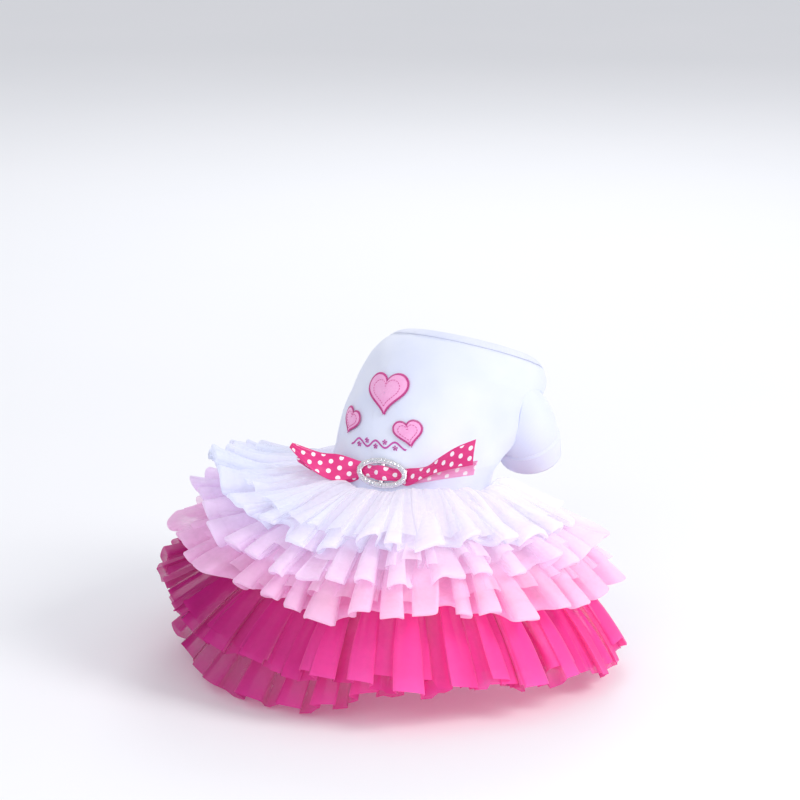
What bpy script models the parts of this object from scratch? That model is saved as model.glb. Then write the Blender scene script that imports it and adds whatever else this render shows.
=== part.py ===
"""A small dog's tutu dress, kept in the shape it has when a sitting dog wears it.

A white jersey bodice with two short sleeves and a neck band carries five gathered tiers of
tulle round the back and sides, a bow of spotted ribbon drawn through an oval stone-set
buckle, and three felt hearts. Metres, +Z up, +Y towards the dog's chest, +X to its right.
The origin is the middle of the body at the waist.
"""

import math
from collections import namedtuple

import bmesh
import bpy
from mathutils import Matrix, Vector

MM = 0.001
TURN = math.tau
X_AXIS = Vector((1, 0, 0))
Z_AXIS = Vector((0, 0, 1))

# Sizes of the bodice, taken across the body that fills it
WAIST_WIDTH = 112 * MM
WAIST_DEPTH = 104 * MM
CHEST_WIDTH = 126 * MM
CHEST_DEPTH = 122 * MM
NECK_WIDTH = 98 * MM
NECK_DEPTH = 80 * MM
BODY_RISE = 71 * MM
BODY_LEAN = 69 * MM
BODICE_DROP = 25 * MM

# Cloth thicknesses and the gap that sewn pieces keep
JERSEY = 1.4 * MM
RIB = 1.9 * MM
TULLE = 1.1 * MM
RIBBON = 1.0 * MM
FELT = 1.1 * MM
SEAM_GAP = 0.3 * MM
PATCH_GAP = 0.45 * MM

# Sleeves
SLEEVE_TOP = 50 * MM
SLEEVE_HEM = 42 * MM
SLEEVE_OUT = 43 * MM
SLEEVE_FORWARD = 36 * MM
SLEEVE_LENGTH = 46 * MM
SLEEVE_CAP = 0.30
SLEEVE_CAP_SHARE = 0.5

# Tulle skirt: the outer hem's reach from its middle, and its drop below the waist
SKIRT_REACH = 152 * MM
SKIRT_DROP = 112 * MM
SKIRT_SPAN = math.radians(224)
FOLD_DEPTH = 7.2 * MM
FOLD_COUNT = 22
FOLD_GROWTH = 1.25
FLICK_SHARE = 0.5

# Bow and buckle
RIBBON_WIDTH = 22 * MM
BOW_HALF = 64 * MM
BOW_STAND = 12 * MM
BOW_ABOVE_WAIST = 3 * MM
BOW_TURN = math.radians(7)
BUCKLE_WIDTH = 37 * MM
BUCKLE_HEIGHT = 20 * MM
BUCKLE_RIM = 3.8 * MM
BUCKLE_BASE = 1.5 * MM
BUCKLE_LIFT = 0.6 * MM
BAR_WIDTH = 3.0 * MM
BAR_THICK = 0.8 * MM
BAR_INSET = 0.1 * MM
STONE_SIZE = 2.3 * MM
STONE_RISE = 1.1 * MM
TABLE_SHARE = 0.54
STONE_COUNT = 28

# Felt hearts
LARGE_HEART = 33 * MM
SMALL_HEART = 20 * MM

# How finely each form is divided
BODY_COLUMNS = 28
BODY_RINGS = 9
SLEEVE_COLUMNS = 14
SLEEVE_RINGS = 6
SAMPLES_PER_FOLD = 4
TIER_SHARES = (0.0, 0.3, 0.66, 1.0)

Section = namedtuple("Section", "name drop rise lean waist chest neck tilt turn")
BODY_SECTIONS = (
    Section("hem", 1.00, 0.00, -0.04, 1.00, 0.00, 0.00, 4, 5),
    Section("waist", 0.00, 0.00, 0.00, 1.00, 0.00, 0.00, 5, 5),
    Section("loin", 0.00, 0.25, 0.20, 0.40, 0.60, 0.00, 10, -3),
    Section("chest", 0.00, 0.53, 0.51, 0.00, 1.00, 0.00, 16, -12),
    Section("shoulder", 0.00, 0.81, 0.81, 0.00, 0.95, 0.05, 21, -15),
    Section("collar", 0.00, 0.96, 0.97, 0.00, 0.45, 0.55, 24, -16),
    Section("neck", 0.00, 1.02, 1.00, 0.00, 0.00, 1.00, 25, -16),
)
HEM_ROW, WAIST_ROW, SLEEVE_ROW, COLLAR_ROW, NECK_ROW = 0.0, 1.0, 3.5, 5.0, 6.0

Crease = namedtuple("Crease", "row_a turn_a row_b turn_b width depth")
BODY_CREASES = (
    Crease(3.7, 78, 1.5, 92, 0.085, 0.030),
    Crease(3.3, 62, 1.3, 66, 0.070, 0.018),
    Crease(3.7, -78, 1.5, -92, 0.085, 0.030),
    Crease(3.3, -62, 1.3, -66, 0.070, 0.018),
)

# The middle line of a sleeve, as shares of the body's half width, the reach forward and the length
SleevePlace = namedtuple("SleevePlace", "out forward down")
SLEEVE_START = SleevePlace(0.50, 0.24, 0.00)
SLEEVE_BEND = SleevePlace(0.84, 0.60, 0.24)

Tier = namedtuple("Tier", "name seam spring lift depth colour")
TIERS = (
    Tier("ruffle_white_top", 0.30, 0.46, 0.00, 0.90, "white"),
    Tier("ruffle_white_middle", 0.46, 0.54, 0.03, 0.95, "white"),
    Tier("ruffle_blush_lower", 0.62, 0.60, 0.07, 1.00, "blush"),
    Tier("skirt_pink_outer", 0.78, 0.70, 0.32, 1.00, "pink"),
    Tier("skirt_pink_under", 0.94, 0.66, 0.48, 0.90, "pink"),
)

# A tier's hem in five directions, evenly spread from its left end over the back to its right end
Hem = namedtuple("Hem", "far_left left back right far_right")
HEM_REACH = {
    "ruffle_white_top": Hem(0.82, 0.88, 0.88, 0.86, 0.76),
    "ruffle_white_middle": Hem(0.90, 0.97, 0.97, 0.94, 0.84),
    "ruffle_blush_lower": Hem(0.99, 1.05, 1.05, 1.02, 0.93),
    "skirt_pink_outer": Hem(1.06, 1.13, 1.12, 1.08, 0.98),
    "skirt_pink_under": Hem(0.96, 1.06, 1.04, 1.00, 0.88),
}
HEM_DROP = {
    "ruffle_white_top": Hem(0.26, -0.10, 0.15, 0.17, 0.25),
    "ruffle_white_middle": Hem(0.41, 0.14, 0.34, 0.36, 0.40),
    "ruffle_blush_lower": Hem(0.62, 0.36, 0.54, 0.58, 0.66),
    "skirt_pink_outer": Hem(0.86, 0.62, 0.82, 0.90, 1.04),
    "skirt_pink_under": Hem(1.06, 0.98, 1.08, 0.88, 1.10),
}

# The ribbon's way through the buckle, from under the rim to over the bar: shares of the ring's
# inner half width, of the climb onto the bar and of the ring's clear half height
Passing = namedtuple("Passing", "across climb width")
BUCKLE_PASS = (
    Passing(-0.82, 0.00, 0.84),
    Passing(-0.50, 0.35, 0.78),
    Passing(-0.20, 1.00, 0.92),
)
RIBBON_AT_RIM = 1.1

Station = namedtuple("Station", "across stand up width roll")
RIBBON_LEFT = (
    Station(-1.00, 1.02, 0.86, 0.24, 60),
    Station(-0.86, 0.92, 0.50, 0.50, 46),
    Station(-0.68, 0.74, 0.10, 0.70, 30),
    Station(-0.50, 0.38, -0.06, 0.82, 12),
)
RIBBON_RIGHT = (
    Station(0.50, 0.30, 0.42, 0.34, -4),
    Station(0.66, 0.58, 0.92, 0.46, -8),
    Station(0.84, 0.74, 1.44, 0.64, -6),
    Station(1.04, 0.72, 1.90, 0.78, -2),
)
UNDER_LEFT = (
    Station(-0.28, 0.00, -0.08, 0.52, 0),
    Station(-0.40, 0.02, -0.34, 0.54, -8),
    Station(-0.60, 0.18, -0.42, 0.46, -24),
    Station(-0.80, 0.36, -0.26, 0.38, -40),
    Station(-0.96, 0.46, 0.00, 0.26, -52),
)
UNDER_RIGHT = (
    Station(0.28, 0.00, 0.00, 0.52, 0),
    Station(0.40, 0.00, 0.16, 0.48, 8),
    Station(0.60, 0.16, 0.44, 0.46, 18),
    Station(0.82, 0.30, 0.76, 0.46, 24),
    Station(1.04, 0.34, 1.08, 0.48, 26),
)

Patch = namedtuple("Patch", "name size row turn lean")
HEARTS = (
    Patch("heart_large", LARGE_HEART, 3.05, 7, 6),
    Patch("heart_small_left", SMALL_HEART, 2.35, -21, -14),
    Patch("heart_small_right", SMALL_HEART, 2.30, 26, 14),
)

COLOURS = {
    "jersey": ((0.90, 0.92, 0.96), 0.85, 0.0),
    "rib": ((0.88, 0.90, 0.95), 0.9, 0.0),
    "white": ((0.93, 0.92, 0.97), 0.7, 0.0),
    "blush": ((0.96, 0.78, 0.88), 0.7, 0.0),
    "pink": ((0.90, 0.05, 0.35), 0.7, 0.0),
    "ribbon": ((0.88, 0.10, 0.38), 0.4, 0.0),
    "felt": ((0.93, 0.45, 0.68), 0.95, 0.0),
    "stones": ((0.85, 0.86, 0.88), 0.15, 0.9),
}


def clear_scene():
    for thing in list(bpy.data.objects):
        bpy.data.objects.remove(thing)


def collection(name):
    made = bpy.data.collections.new(name)
    bpy.context.scene.collection.children.link(made)
    return made


def material(name):
    """One Principled material for each kind of cloth or metal."""
    found = bpy.data.materials.get(name)
    if found:
        return found
    colour, roughness, metallic = COLOURS[name]
    made = bpy.data.materials.new(name)
    made.use_nodes = True
    shader = made.node_tree.nodes["Principled BSDF"]
    shader.inputs["Base Color"].default_value = (*colour, 1.0)
    shader.inputs["Roughness"].default_value = roughness
    shader.inputs["Metallic"].default_value = metallic
    return made


def mesh_object(name, points, faces, group, colour=None):
    mesh = bpy.data.meshes.new(name)
    mesh.from_pydata(points, [], faces)
    mesh.update()
    made = bpy.data.objects.new(name, mesh)
    group.objects.link(made)
    if colour:
        mesh.materials.append(material(colour))
        mesh.shade_smooth()
    return made


def grid_faces(rows, columns, closed):
    """Pairs of triangles between neighbouring rows of points, all split along the same diagonal."""
    faces = []
    for r in range(rows - 1):
        for c in range(columns if closed else columns - 1):
            d = (c + 1) % columns
            low, high = r * columns, (r + 1) * columns
            faces.append((low + c, low + d, high + d))
            faces.append((low + c, high + d, high + c))
    return faces


def skin(name, rows, closed, group, colour):
    points = [p for row in rows for p in row]
    return mesh_object(name, points, grid_faces(len(rows), len(rows[0]), closed), group, colour)


def plug(name, rings, group):
    """A closed solid through rings of points, capped at both ends. It only cuts."""
    count = len(rings[0])
    faces = grid_faces(len(rings), count, True)
    faces.append(tuple(reversed(range(count))))
    last = (len(rings) - 1) * count
    faces.append(tuple(last + i for i in range(count)))
    made = mesh_object(name, [p for ring in rings for p in ring], faces, group)
    made.hide_render = True
    made.display_type = "WIRE"
    return made


def thicken(obj, thickness, offset):
    wall = obj.modifiers.new("wall", "SOLIDIFY")
    wall.thickness = thickness
    wall.offset = offset


def cut(obj, cutter):
    hole = obj.modifiers.new("cut " + cutter.name, "BOOLEAN")
    hole.operation = "DIFFERENCE"
    hole.object = cutter


def spline_value(values, at):
    """A smooth curve through equally spaced values, read at a fractional place."""
    last = len(values) - 1
    at = min(max(at, 0.0), float(last))
    i = min(int(at), last - 1)
    t = at - i
    a, b, c, d = (values[min(max(j, 0), last)] for j in (i - 1, i, i + 1, i + 2))
    slope_b, slope_c = (c - a) / 2, (d - b) / 2
    return (
        b * (1 + 2 * t) * (1 - t) ** 2
        + slope_b * t * (1 - t) ** 2
        + c * t * t * (3 - 2 * t)
        - slope_c * t * t * (1 - t)
    )


def section_value(column, row):
    return spline_value([getattr(s, column) for s in BODY_SECTIONS], row)


def body_ring(row):
    """Centre, forward direction, half width, half depth and turn of the body's section at a row."""
    blend = [section_value(c, row) for c in ("waist", "chest", "neck")]
    width = sum(b * w for b, w in zip(blend, (WAIST_WIDTH, CHEST_WIDTH, NECK_WIDTH)))
    depth = sum(b * w for b, w in zip(blend, (WAIST_DEPTH, CHEST_DEPTH, NECK_DEPTH)))
    tilt = math.radians(section_value("tilt", row))
    height = section_value("rise", row) * BODY_RISE - section_value("drop", row) * BODICE_DROP
    centre = Vector((0, section_value("lean", row) * BODY_LEAN, height))
    forward = Vector((0, math.cos(tilt), -math.sin(tilt)))
    return centre, forward, width / 2, depth / 2, math.radians(section_value("turn", row))


def crease_depth(row, angle):
    """How far the soft folds under the sleeves sink the cloth at a place."""
    sunk = 0.0
    for c in BODY_CREASES:
        along = (row - c.row_a) / (c.row_b - c.row_a)
        if not 0 < along < 1:
            continue
        middle = math.radians(c.turn_a + (c.turn_b - c.turn_a) * along)
        across = (angle - middle) / (c.width * TURN)
        sunk += c.depth * CHEST_WIDTH * math.sin(math.pi * along) * math.exp(-across * across * 4)
    return sunk


def body_point(row, angle, out=0.0, creased=False):
    """A point on the bodice's outer face; the angle runs from the back line towards the dog's right."""
    centre, forward, half_width, half_depth, turn = body_ring(row)
    a = angle + turn
    normal = (X_AXIS * (math.sin(a) / half_width) - forward * (math.cos(a) / half_depth)).normalized()
    wrapped = (angle + math.pi) % TURN - math.pi
    sunk = crease_depth(row, wrapped) if creased else 0.0
    face = centre + X_AXIS * (half_width * math.sin(a)) - forward * (half_depth * math.cos(a))
    return face + normal * (out - sunk)


def body_frame(row, angle):
    """Point, rightward, upward and outward directions on the bodice's face."""
    step = 0.02
    point = body_point(row, angle)
    right = (body_point(row, angle + step) - body_point(row, angle - step)).normalized()
    up = (body_point(row + step, angle) - body_point(row - step, angle)).normalized()
    out = right.cross(up).normalized()
    return point, right, out.cross(right), out


def body_rings(first, last, count, out=0.0, creased=False, trim=0.0):
    """Rings of the bodice between two rows, stopping short of the last by a length along the cloth."""
    angles = [TURN * c / BODY_COLUMNS for c in range(BODY_COLUMNS)]
    step = 0.05
    ends = []
    for a in angles:
        run = (body_point(last, a) - body_point(last - step, a)).length / step
        ends.append(last - trim / run)
    rings = []
    for i in range(count):
        share = i / (count - 1)
        places = [(first + (end - first) * share, a) for a, end in zip(angles, ends)]
        rings.append([body_point(row, a, out, creased) for row, a in places])
    return rings


def sleeve_rings(side, shrink):
    """Rings of a sleeve from inside the shoulder to its hem; side is 1 for the dog's right."""
    centre, _, half_width, _, turn = body_ring(SLEEVE_ROW)
    turned = Matrix.Rotation(turn, 3, "Z")
    top, bend = (
        centre + turned @ Vector((side * half_width * p.out, SLEEVE_FORWARD * p.forward, -drop))
        for p, drop in ((p, SLEEVE_LENGTH * p.down) for p in (SLEEVE_START, SLEEVE_BEND))
    )
    hem = centre + turned @ Vector((side * SLEEVE_OUT, SLEEVE_FORWARD, -SLEEVE_LENGTH))
    rings = []
    for i in range(SLEEVE_RINGS):
        t = i / (SLEEVE_RINGS - 1)
        middle = top * (1 - t) ** 2 + bend * (2 * t * (1 - t)) + hem * t * t
        axis = ((bend - top) * (1 - t) + (hem - bend) * t).normalized()
        across = axis.cross(Vector((0, 1, 0))).normalized()
        along = axis.cross(across)
        cap = 1 - SLEEVE_CAP * max(0.0, 1 - t / SLEEVE_CAP_SHARE) ** 2
        radius = (SLEEVE_TOP + (SLEEVE_HEM - SLEEVE_TOP) * t) / 2 * cap - shrink
        ring = []
        for c in range(SLEEVE_COLUMNS):
            a = TURN * c / SLEEVE_COLUMNS
            ring.append(middle + (across * math.cos(a) + along * math.sin(a)) * radius)
        rings.append(ring)
    return rings


def make_bodice(group, cutters):
    trim = SEAM_GAP + RIB * 0.3
    rings = body_rings(HEM_ROW, COLLAR_ROW, BODY_RINGS, 0.0, True, trim)
    bodice = skin("bodice", rings, True, group, "jersey")
    thicken(bodice, JERSEY, -1)
    band = skin("neck_band", body_rings(COLLAR_ROW, NECK_ROW, 3), True, group, "rib")
    thicken(band, RIB, -1)
    torso_rings = body_rings(HEM_ROW, COLLAR_ROW, BODY_RINGS, SEAM_GAP, True, trim)
    torso_rings += body_rings(COLLAR_ROW, NECK_ROW, 3, SEAM_GAP)
    torso = plug("torso_cutter", torso_rings, cutters)
    for side, word in ((1, "right"), (-1, "left")):
        bore = plug("armhole_cutter_" + word, sleeve_rings(side, JERSEY), cutters)
        cut(bodice, bore)
        sleeve = skin("sleeve_" + word, sleeve_rings(side, 0.0), True, group, "jersey")
        thicken(sleeve, JERSEY, -1)
        cut(sleeve, torso)


def tier_seam(tier, angle):
    """Where a tier is sewn to the bodice, and the level way out from the body there."""
    row = WAIST_ROW - tier.seam
    _, _, half_width, half_depth, turn = body_ring(row)
    out = Vector((math.sin(angle) / half_width, -math.cos(angle) / half_depth, 0)).normalized()
    return body_point(row, angle - turn) + out * (SEAM_GAP + TULLE * 0.4), out


def tier_hem(tier, angle):
    """The mean line of a tier's free edge, set out from the waist so that folds nest under each other."""
    at = (angle / SKIRT_SPAN + 0.5) * 4
    reach = spline_value(HEM_REACH[tier.name], at) * SKIRT_REACH
    drop = spline_value(HEM_DROP[tier.name], at) * SKIRT_DROP
    return Vector((reach * math.sin(angle), -reach * math.cos(angle), -drop))


def tier_base(tier, angle, share):
    """The tier without its folds: out from the waist, then over and down to the hem."""
    seam, out = tier_seam(tier, angle)
    hem = tier_hem(tier, angle)
    level = Vector((hem.x - seam.x, hem.y - seam.y, 0)).length
    bend = seam + out * (level * tier.spring) - Z_AXIS * (tier.lift * SKIRT_DROP)
    return seam * (1 - share) ** 2 + bend * (2 * share * (1 - share)) + hem * share**2


def tier_point(tier, angle, share):
    """The tier with its gathers, which start flat at the seam and deepen towards the hem."""
    step = 0.01
    centre = tier_base(tier, angle, share)
    around = tier_base(tier, angle + step, share) - tier_base(tier, angle - step, share)
    inner, outer = max(share - step, 0.0), min(share + step, 1.0)
    down = tier_base(tier, angle, outer) - tier_base(tier, angle, inner)
    normal = around.cross(down).normalized()
    turns = angle / SKIRT_SPAN * FOLD_COUNT
    swing = math.sin(TURN * turns) * (1 + 0.2 * math.sin(1.7 * turns))
    flick = FLICK_SHARE * tier.depth * FOLD_DEPTH * math.sin(2.3 * turns) * share**3
    depth = tier.depth * FOLD_DEPTH * share**FOLD_GROWTH
    return centre - normal * (depth * swing) + down.normalized() * flick


def make_tier(tier, group):
    count = FOLD_COUNT * SAMPLES_PER_FOLD
    half_step = SKIRT_SPAN / count / 2
    angles = [-SKIRT_SPAN / 2 + half_step * (2 * i + 1) for i in range(count)]
    rows = [[tier_point(tier, a, share) for a in angles] for share in TIER_SHARES]
    cloth = skin(tier.name, rows[::-1], False, group, tier.colour)
    thicken(cloth, TULLE, 0)


def row_at_height(height):
    """The body row whose section lies at a height above the waist."""
    low, high = WAIST_ROW, NECK_ROW
    for _ in range(30):
        middle = (low + high) / 2
        if section_value("rise", middle) * BODY_RISE < height:
            low = middle
        else:
            high = middle
    return low


def bow_frame():
    """The bow's seat on the back, above the first tier's seam."""
    return body_frame(row_at_height(BOW_ABOVE_WAIST), BOW_TURN)


def bodice_drop(across):
    """How far the bodice has curved away from the bow's seat, at a length to its side."""
    row = row_at_height(BOW_ABOVE_WAIST)
    point, _, _, out = bow_frame()
    _, _, half_width, _, _ = body_ring(row)
    return (point - body_point(row, BOW_TURN + across / half_width)).dot(out)


def ribbon_rows(places):
    """Rows across a ribbon from rightward, upward and outward lengths, half width and roll."""
    point, right, up, out = bow_frame()
    rows = []
    for i in range(2 * len(places) - 1):
        x, y, z, half, roll = (spline_value([p[c] for p in places], i / 2) for c in range(5))
        middle = point + right * x + up * y + out * z
        across = up * math.cos(roll) - out * math.sin(roll)
        rows.append([middle + across * (half * k / 3) for k in (-3, -1, 1, 3)])
    return rows


def tail_places(stations, low):
    """A tail's stations as lengths; low is how far its first one stands off the bow's seat."""
    places = []
    for s in stations:
        half = s.width * RIBBON_WIDTH / 2
        stand = low + s.stand * BOW_STAND
        places.append((s.across * BOW_HALF, s.up * BOW_STAND, stand, half, math.radians(s.roll)))
    return places


def buckle_pass():
    """The ribbon's way through the buckle: under the rim, up over the bar and under the rim again."""
    under = BUCKLE_LIFT - SEAM_GAP - RIBBON / 2
    rise = BUCKLE_LIFT + BAR_INSET + BAR_THICK + SEAM_GAP + RIBBON / 2 - under
    clear = BUCKLE_HEIGHT / 2 - BUCKLE_RIM - 3 * SEAM_GAP
    outer = BUCKLE_WIDTH / 2 + 2 * SEAM_GAP
    inner = BUCKLE_WIDTH / 2 - BUCKLE_RIM
    left = [(-outer, 0, under, clear * RIBBON_AT_RIM, 0)]
    left += [(inner * p.across, 0, under + rise * p.climb, clear * p.width, 0) for p in BUCKLE_PASS]
    right = [(-x, y, z, half, roll) for x, y, z, half, roll in reversed(left)]
    return left + right


def make_bow(group):
    """A ribbon drawn through the buckle, and two tails that come out from under its rim."""
    under = BUCKLE_LIFT - SEAM_GAP - RIBBON / 2
    through = tail_places(RIBBON_LEFT, under) + buckle_pass() + tail_places(RIBBON_RIGHT, under)
    ribbon = skin("bow_ribbon", ribbon_rows(through), False, group, "ribbon")
    thicken(ribbon, RIBBON, 0)
    for name, stations in (("bow_tail_left", UNDER_LEFT), ("bow_tail_right", UNDER_RIGHT)):
        start = abs(stations[0].across) * BOW_HALF
        low = (under - RIBBON / 2 - bodice_drop(start)) / 2
        tail = skin(name, ribbon_rows(tail_places(stations, low)), False, group, "ribbon")
        thicken(tail, RIBBON, 0)


def oval(half_width, half_height, angle):
    return Vector((half_width * math.cos(angle), half_height * math.sin(angle), 0))


def oval_length_angles(half_width, half_height, count):
    """Angles that share an oval's edge into equal lengths."""
    fine = 720
    points = [oval(half_width, half_height, TURN * i / fine) for i in range(fine + 1)]
    run = [0.0]
    for a, b in zip(points, points[1:]):
        run.append(run[-1] + (b - a).length)
    angles, at = [], 0
    for k in range(count):
        target = run[-1] * k / count
        while run[at + 1] < target:
            at += 1
        share = (target - run[at]) / (run[at + 1] - run[at])
        angles.append(TURN * (at + share) / fine)
    return angles


def stone_cell(bm, corners, middle, along, across):
    """One stone in its square of rim: an eight-sided girdle, eight facets and a flat table."""
    girdle, table = [], []
    for i in range(8):
        a = TURN * (i + 0.5) / 8
        way = along * math.cos(a) + across * math.sin(a)
        girdle.append(bm.verts.new(middle + way * (STONE_SIZE / 2)))
        table.append(bm.verts.new(middle + way * (STONE_SIZE / 2 * TABLE_SHARE) + Z_AXIS * STONE_RISE))
    bm.faces.new(table)
    for i in range(8):
        j = (i + 1) % 8
        bm.faces.new((girdle[i], girdle[j], table[j], table[i]))
    for k, (first, second) in enumerate(((0, 1), (1, 2), (2, 3), (3, 0))):
        a, b = corners[first], corners[second]
        g = [girdle[(2 * k + n) % 8] for n in (0, 1, 2)]
        bm.faces.new((a, b, g[2], g[1]))
        bm.faces.new((a, g[1], g[0]))


def make_buckle(group):
    """An oval ring with a bar across its back and a row of stones round its face."""
    half_w, half_h = (BUCKLE_WIDTH - BUCKLE_RIM) / 2, (BUCKLE_HEIGHT - BUCKLE_RIM) / 2
    angles = oval_length_angles(half_w, half_h, STONE_COUNT)
    bm = bmesh.new()
    rings = {"inner": [], "outer": [], "inner_back": [], "outer_back": []}
    for a in angles:
        middle = oval(half_w, half_h, a)
        out = Vector((math.cos(a) * half_h, math.sin(a) * half_w, 0)).normalized()
        for edge, way in (("inner", -1), ("outer", 1)):
            place = middle + out * (way * BUCKLE_RIM / 2)
            rings[edge].append(bm.verts.new(place + Z_AXIS * BUCKLE_BASE))
            rings[edge + "_back"].append(bm.verts.new(place))
    for i in range(STONE_COUNT):
        j = (i + 1) % STONE_COUNT
        face = [rings["outer"][i], rings["outer"][j], rings["inner"][j], rings["inner"][i]]
        middle = sum((v.co for v in face), Vector()) / 4
        along = (face[1].co - face[0].co).normalized()
        across = Z_AXIS.cross(along)
        # The cell's corners stand where its girdle's even corners point.
        corners = [face[k] for k in (2, 3, 0, 1)]
        stone_cell(bm, corners, middle, along, across)
        ring_walls = (("outer_back", "outer"), ("inner", "inner_back"), ("inner_back", "outer_back"))
        for low, high in ring_walls:
            bm.faces.new((rings[low][i], rings[low][j], rings[high][j], rings[high][i]))
    bmesh.ops.recalc_face_normals(bm, faces=bm.faces)
    mesh = bpy.data.meshes.new("buckle")
    bm.to_mesh(mesh)
    bm.free()
    mesh.materials.append(material("stones"))
    buckle = bpy.data.objects.new("buckle", mesh)
    group.objects.link(buckle)
    point, right, up, out = bow_frame()
    seat = Matrix((right, up, out)).transposed().to_4x4()
    seat.translation = point + out * BUCKLE_LIFT
    buckle.matrix_world = seat
    return seat


def make_bar(cutters, seat):
    """The bar behind the ribbon, whose ends run into the ring."""
    bpy.ops.mesh.primitive_cube_add(size=1)
    bar = bpy.context.active_object
    bar.name = "buckle_bar"
    bar.data.transform(Matrix.Diagonal((BAR_WIDTH, BUCKLE_HEIGHT - BUCKLE_RIM, BAR_THICK, 1)))
    bar.data.transform(Matrix.Translation((0, 0, BAR_THICK / 2 + BAR_INSET)))
    bar.matrix_world = seat
    for linked in list(bar.users_collection):
        linked.objects.unlink(bar)
    cutters.objects.link(bar)
    bar.hide_render = True
    bar.display_type = "WIRE"
    return bar


def join(obj, other):
    union = obj.modifiers.new("join " + other.name, "BOOLEAN")
    union.operation = "UNION"
    union.object = other


def heart_outline(count):
    """A heart one unit wide: lobes above, point below."""
    points = []
    for i in range(count):
        t = TURN * i / count
        across = 16 * math.sin(t) ** 3
        up = 13 * math.cos(t) - 5 * math.cos(2 * t) - 2 * math.cos(3 * t) - math.cos(4 * t)
        points.append((across / 32, (up + 2.5) / 32))
    return points


def make_heart(patch, group):
    """A felt heart laid on the bodice and following its curve."""
    point, right, up, out = body_frame(patch.row, math.radians(patch.turn))
    step = 0.05
    row_run = (body_point(patch.row + step, 0) - body_point(patch.row - step, 0)).length / (2 * step)
    angle_run = (body_point(patch.row, step) - body_point(patch.row, -step)).length / (2 * step)
    lean = math.radians(patch.lean)
    outline = heart_outline(16)
    points, faces = [], []

    def place(across, height):
        u = (across * math.cos(lean) - height * math.sin(lean)) * patch.size
        v = (across * math.sin(lean) + height * math.cos(lean)) * patch.size
        row = patch.row + v / row_run
        angle = math.radians(patch.turn) + u / angle_run
        face, _, _, normal = body_frame(row, angle)
        return face + normal * PATCH_GAP

    points.append(place(0, 0))
    for share in (0.5, 1.0):
        points.extend(place(x * share, y * share) for x, y in outline)
    count = len(outline)
    for i in range(count):
        j = (i + 1) % count
        faces.append((0, 1 + j, 1 + i))
        faces.append((1 + i, 1 + j, 1 + count + j, 1 + count + i))
    heart = mesh_object(patch.name, points, faces, group, "felt")
    thicken(heart, FELT, 1)


def main():
    clear_scene()
    dress = collection("tutu_dress")
    cutters = collection("cutters")
    make_bodice(dress, cutters)
    for tier in TIERS:
        make_tier(tier, dress)
    make_bow(dress)
    seat = make_buckle(dress)
    bar = make_bar(cutters, seat)
    join(bpy.data.objects["buckle"], bar)
    for patch in HEARTS:
        make_heart(patch, dress)


main()
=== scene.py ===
# %% [markdown]
# A small pet's tutu dress, filled out as a seated wearer fills it and seen from behind.
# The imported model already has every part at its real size, so this script only dresses it:
# each plain solid gives way to a finer piece of cloth, thread or cut stone in the same place.
# Lengths are in metres, +Z is up and the origin is the middle of the body at the waist.

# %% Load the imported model
import math

import bpy
import numpy as np
from mathutils import Matrix, Vector


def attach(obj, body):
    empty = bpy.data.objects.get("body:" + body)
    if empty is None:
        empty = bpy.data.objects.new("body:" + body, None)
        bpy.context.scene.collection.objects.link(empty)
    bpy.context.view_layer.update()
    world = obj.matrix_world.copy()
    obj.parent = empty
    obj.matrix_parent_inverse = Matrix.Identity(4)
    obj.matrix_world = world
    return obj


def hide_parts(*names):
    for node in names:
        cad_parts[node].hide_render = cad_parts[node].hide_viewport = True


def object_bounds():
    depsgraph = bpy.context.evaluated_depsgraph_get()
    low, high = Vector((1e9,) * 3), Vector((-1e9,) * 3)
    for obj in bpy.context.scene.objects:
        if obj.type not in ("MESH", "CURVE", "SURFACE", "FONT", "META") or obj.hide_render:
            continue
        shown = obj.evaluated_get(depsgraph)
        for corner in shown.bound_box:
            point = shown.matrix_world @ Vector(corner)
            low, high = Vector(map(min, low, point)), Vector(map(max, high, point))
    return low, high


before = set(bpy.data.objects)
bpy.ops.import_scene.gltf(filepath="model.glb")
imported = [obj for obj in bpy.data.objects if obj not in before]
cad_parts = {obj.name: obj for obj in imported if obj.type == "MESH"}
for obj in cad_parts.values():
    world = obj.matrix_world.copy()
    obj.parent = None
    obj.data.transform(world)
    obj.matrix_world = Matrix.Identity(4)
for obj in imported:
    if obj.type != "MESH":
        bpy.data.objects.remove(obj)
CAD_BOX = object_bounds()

MM = 0.001
TURN = math.tau
print("nodes:", ", ".join(sorted(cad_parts)))
print("size in mm:", [round((high - low) / MM) for low, high in zip(*CAD_BOX)])

# %% [markdown]
# The camera stands behind the dress and a little to the wearer's right, slightly above it.
# A long lens keeps the tiers nearly parallel, as a portrait lens does. It is aimed beside the
# waist, so that the waist lands where the photograph has it.

# %% Camera
VIEW_TURN, VIEW_RISE = math.radians(35), math.radians(15)
SENSOR, LENS, DISTANCE = 36, 130, 1.97
FRAME = 800
PIXEL = SENSOR / LENS * DISTANCE / FRAME
WAIST_PIXEL = (412, 468)

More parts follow.
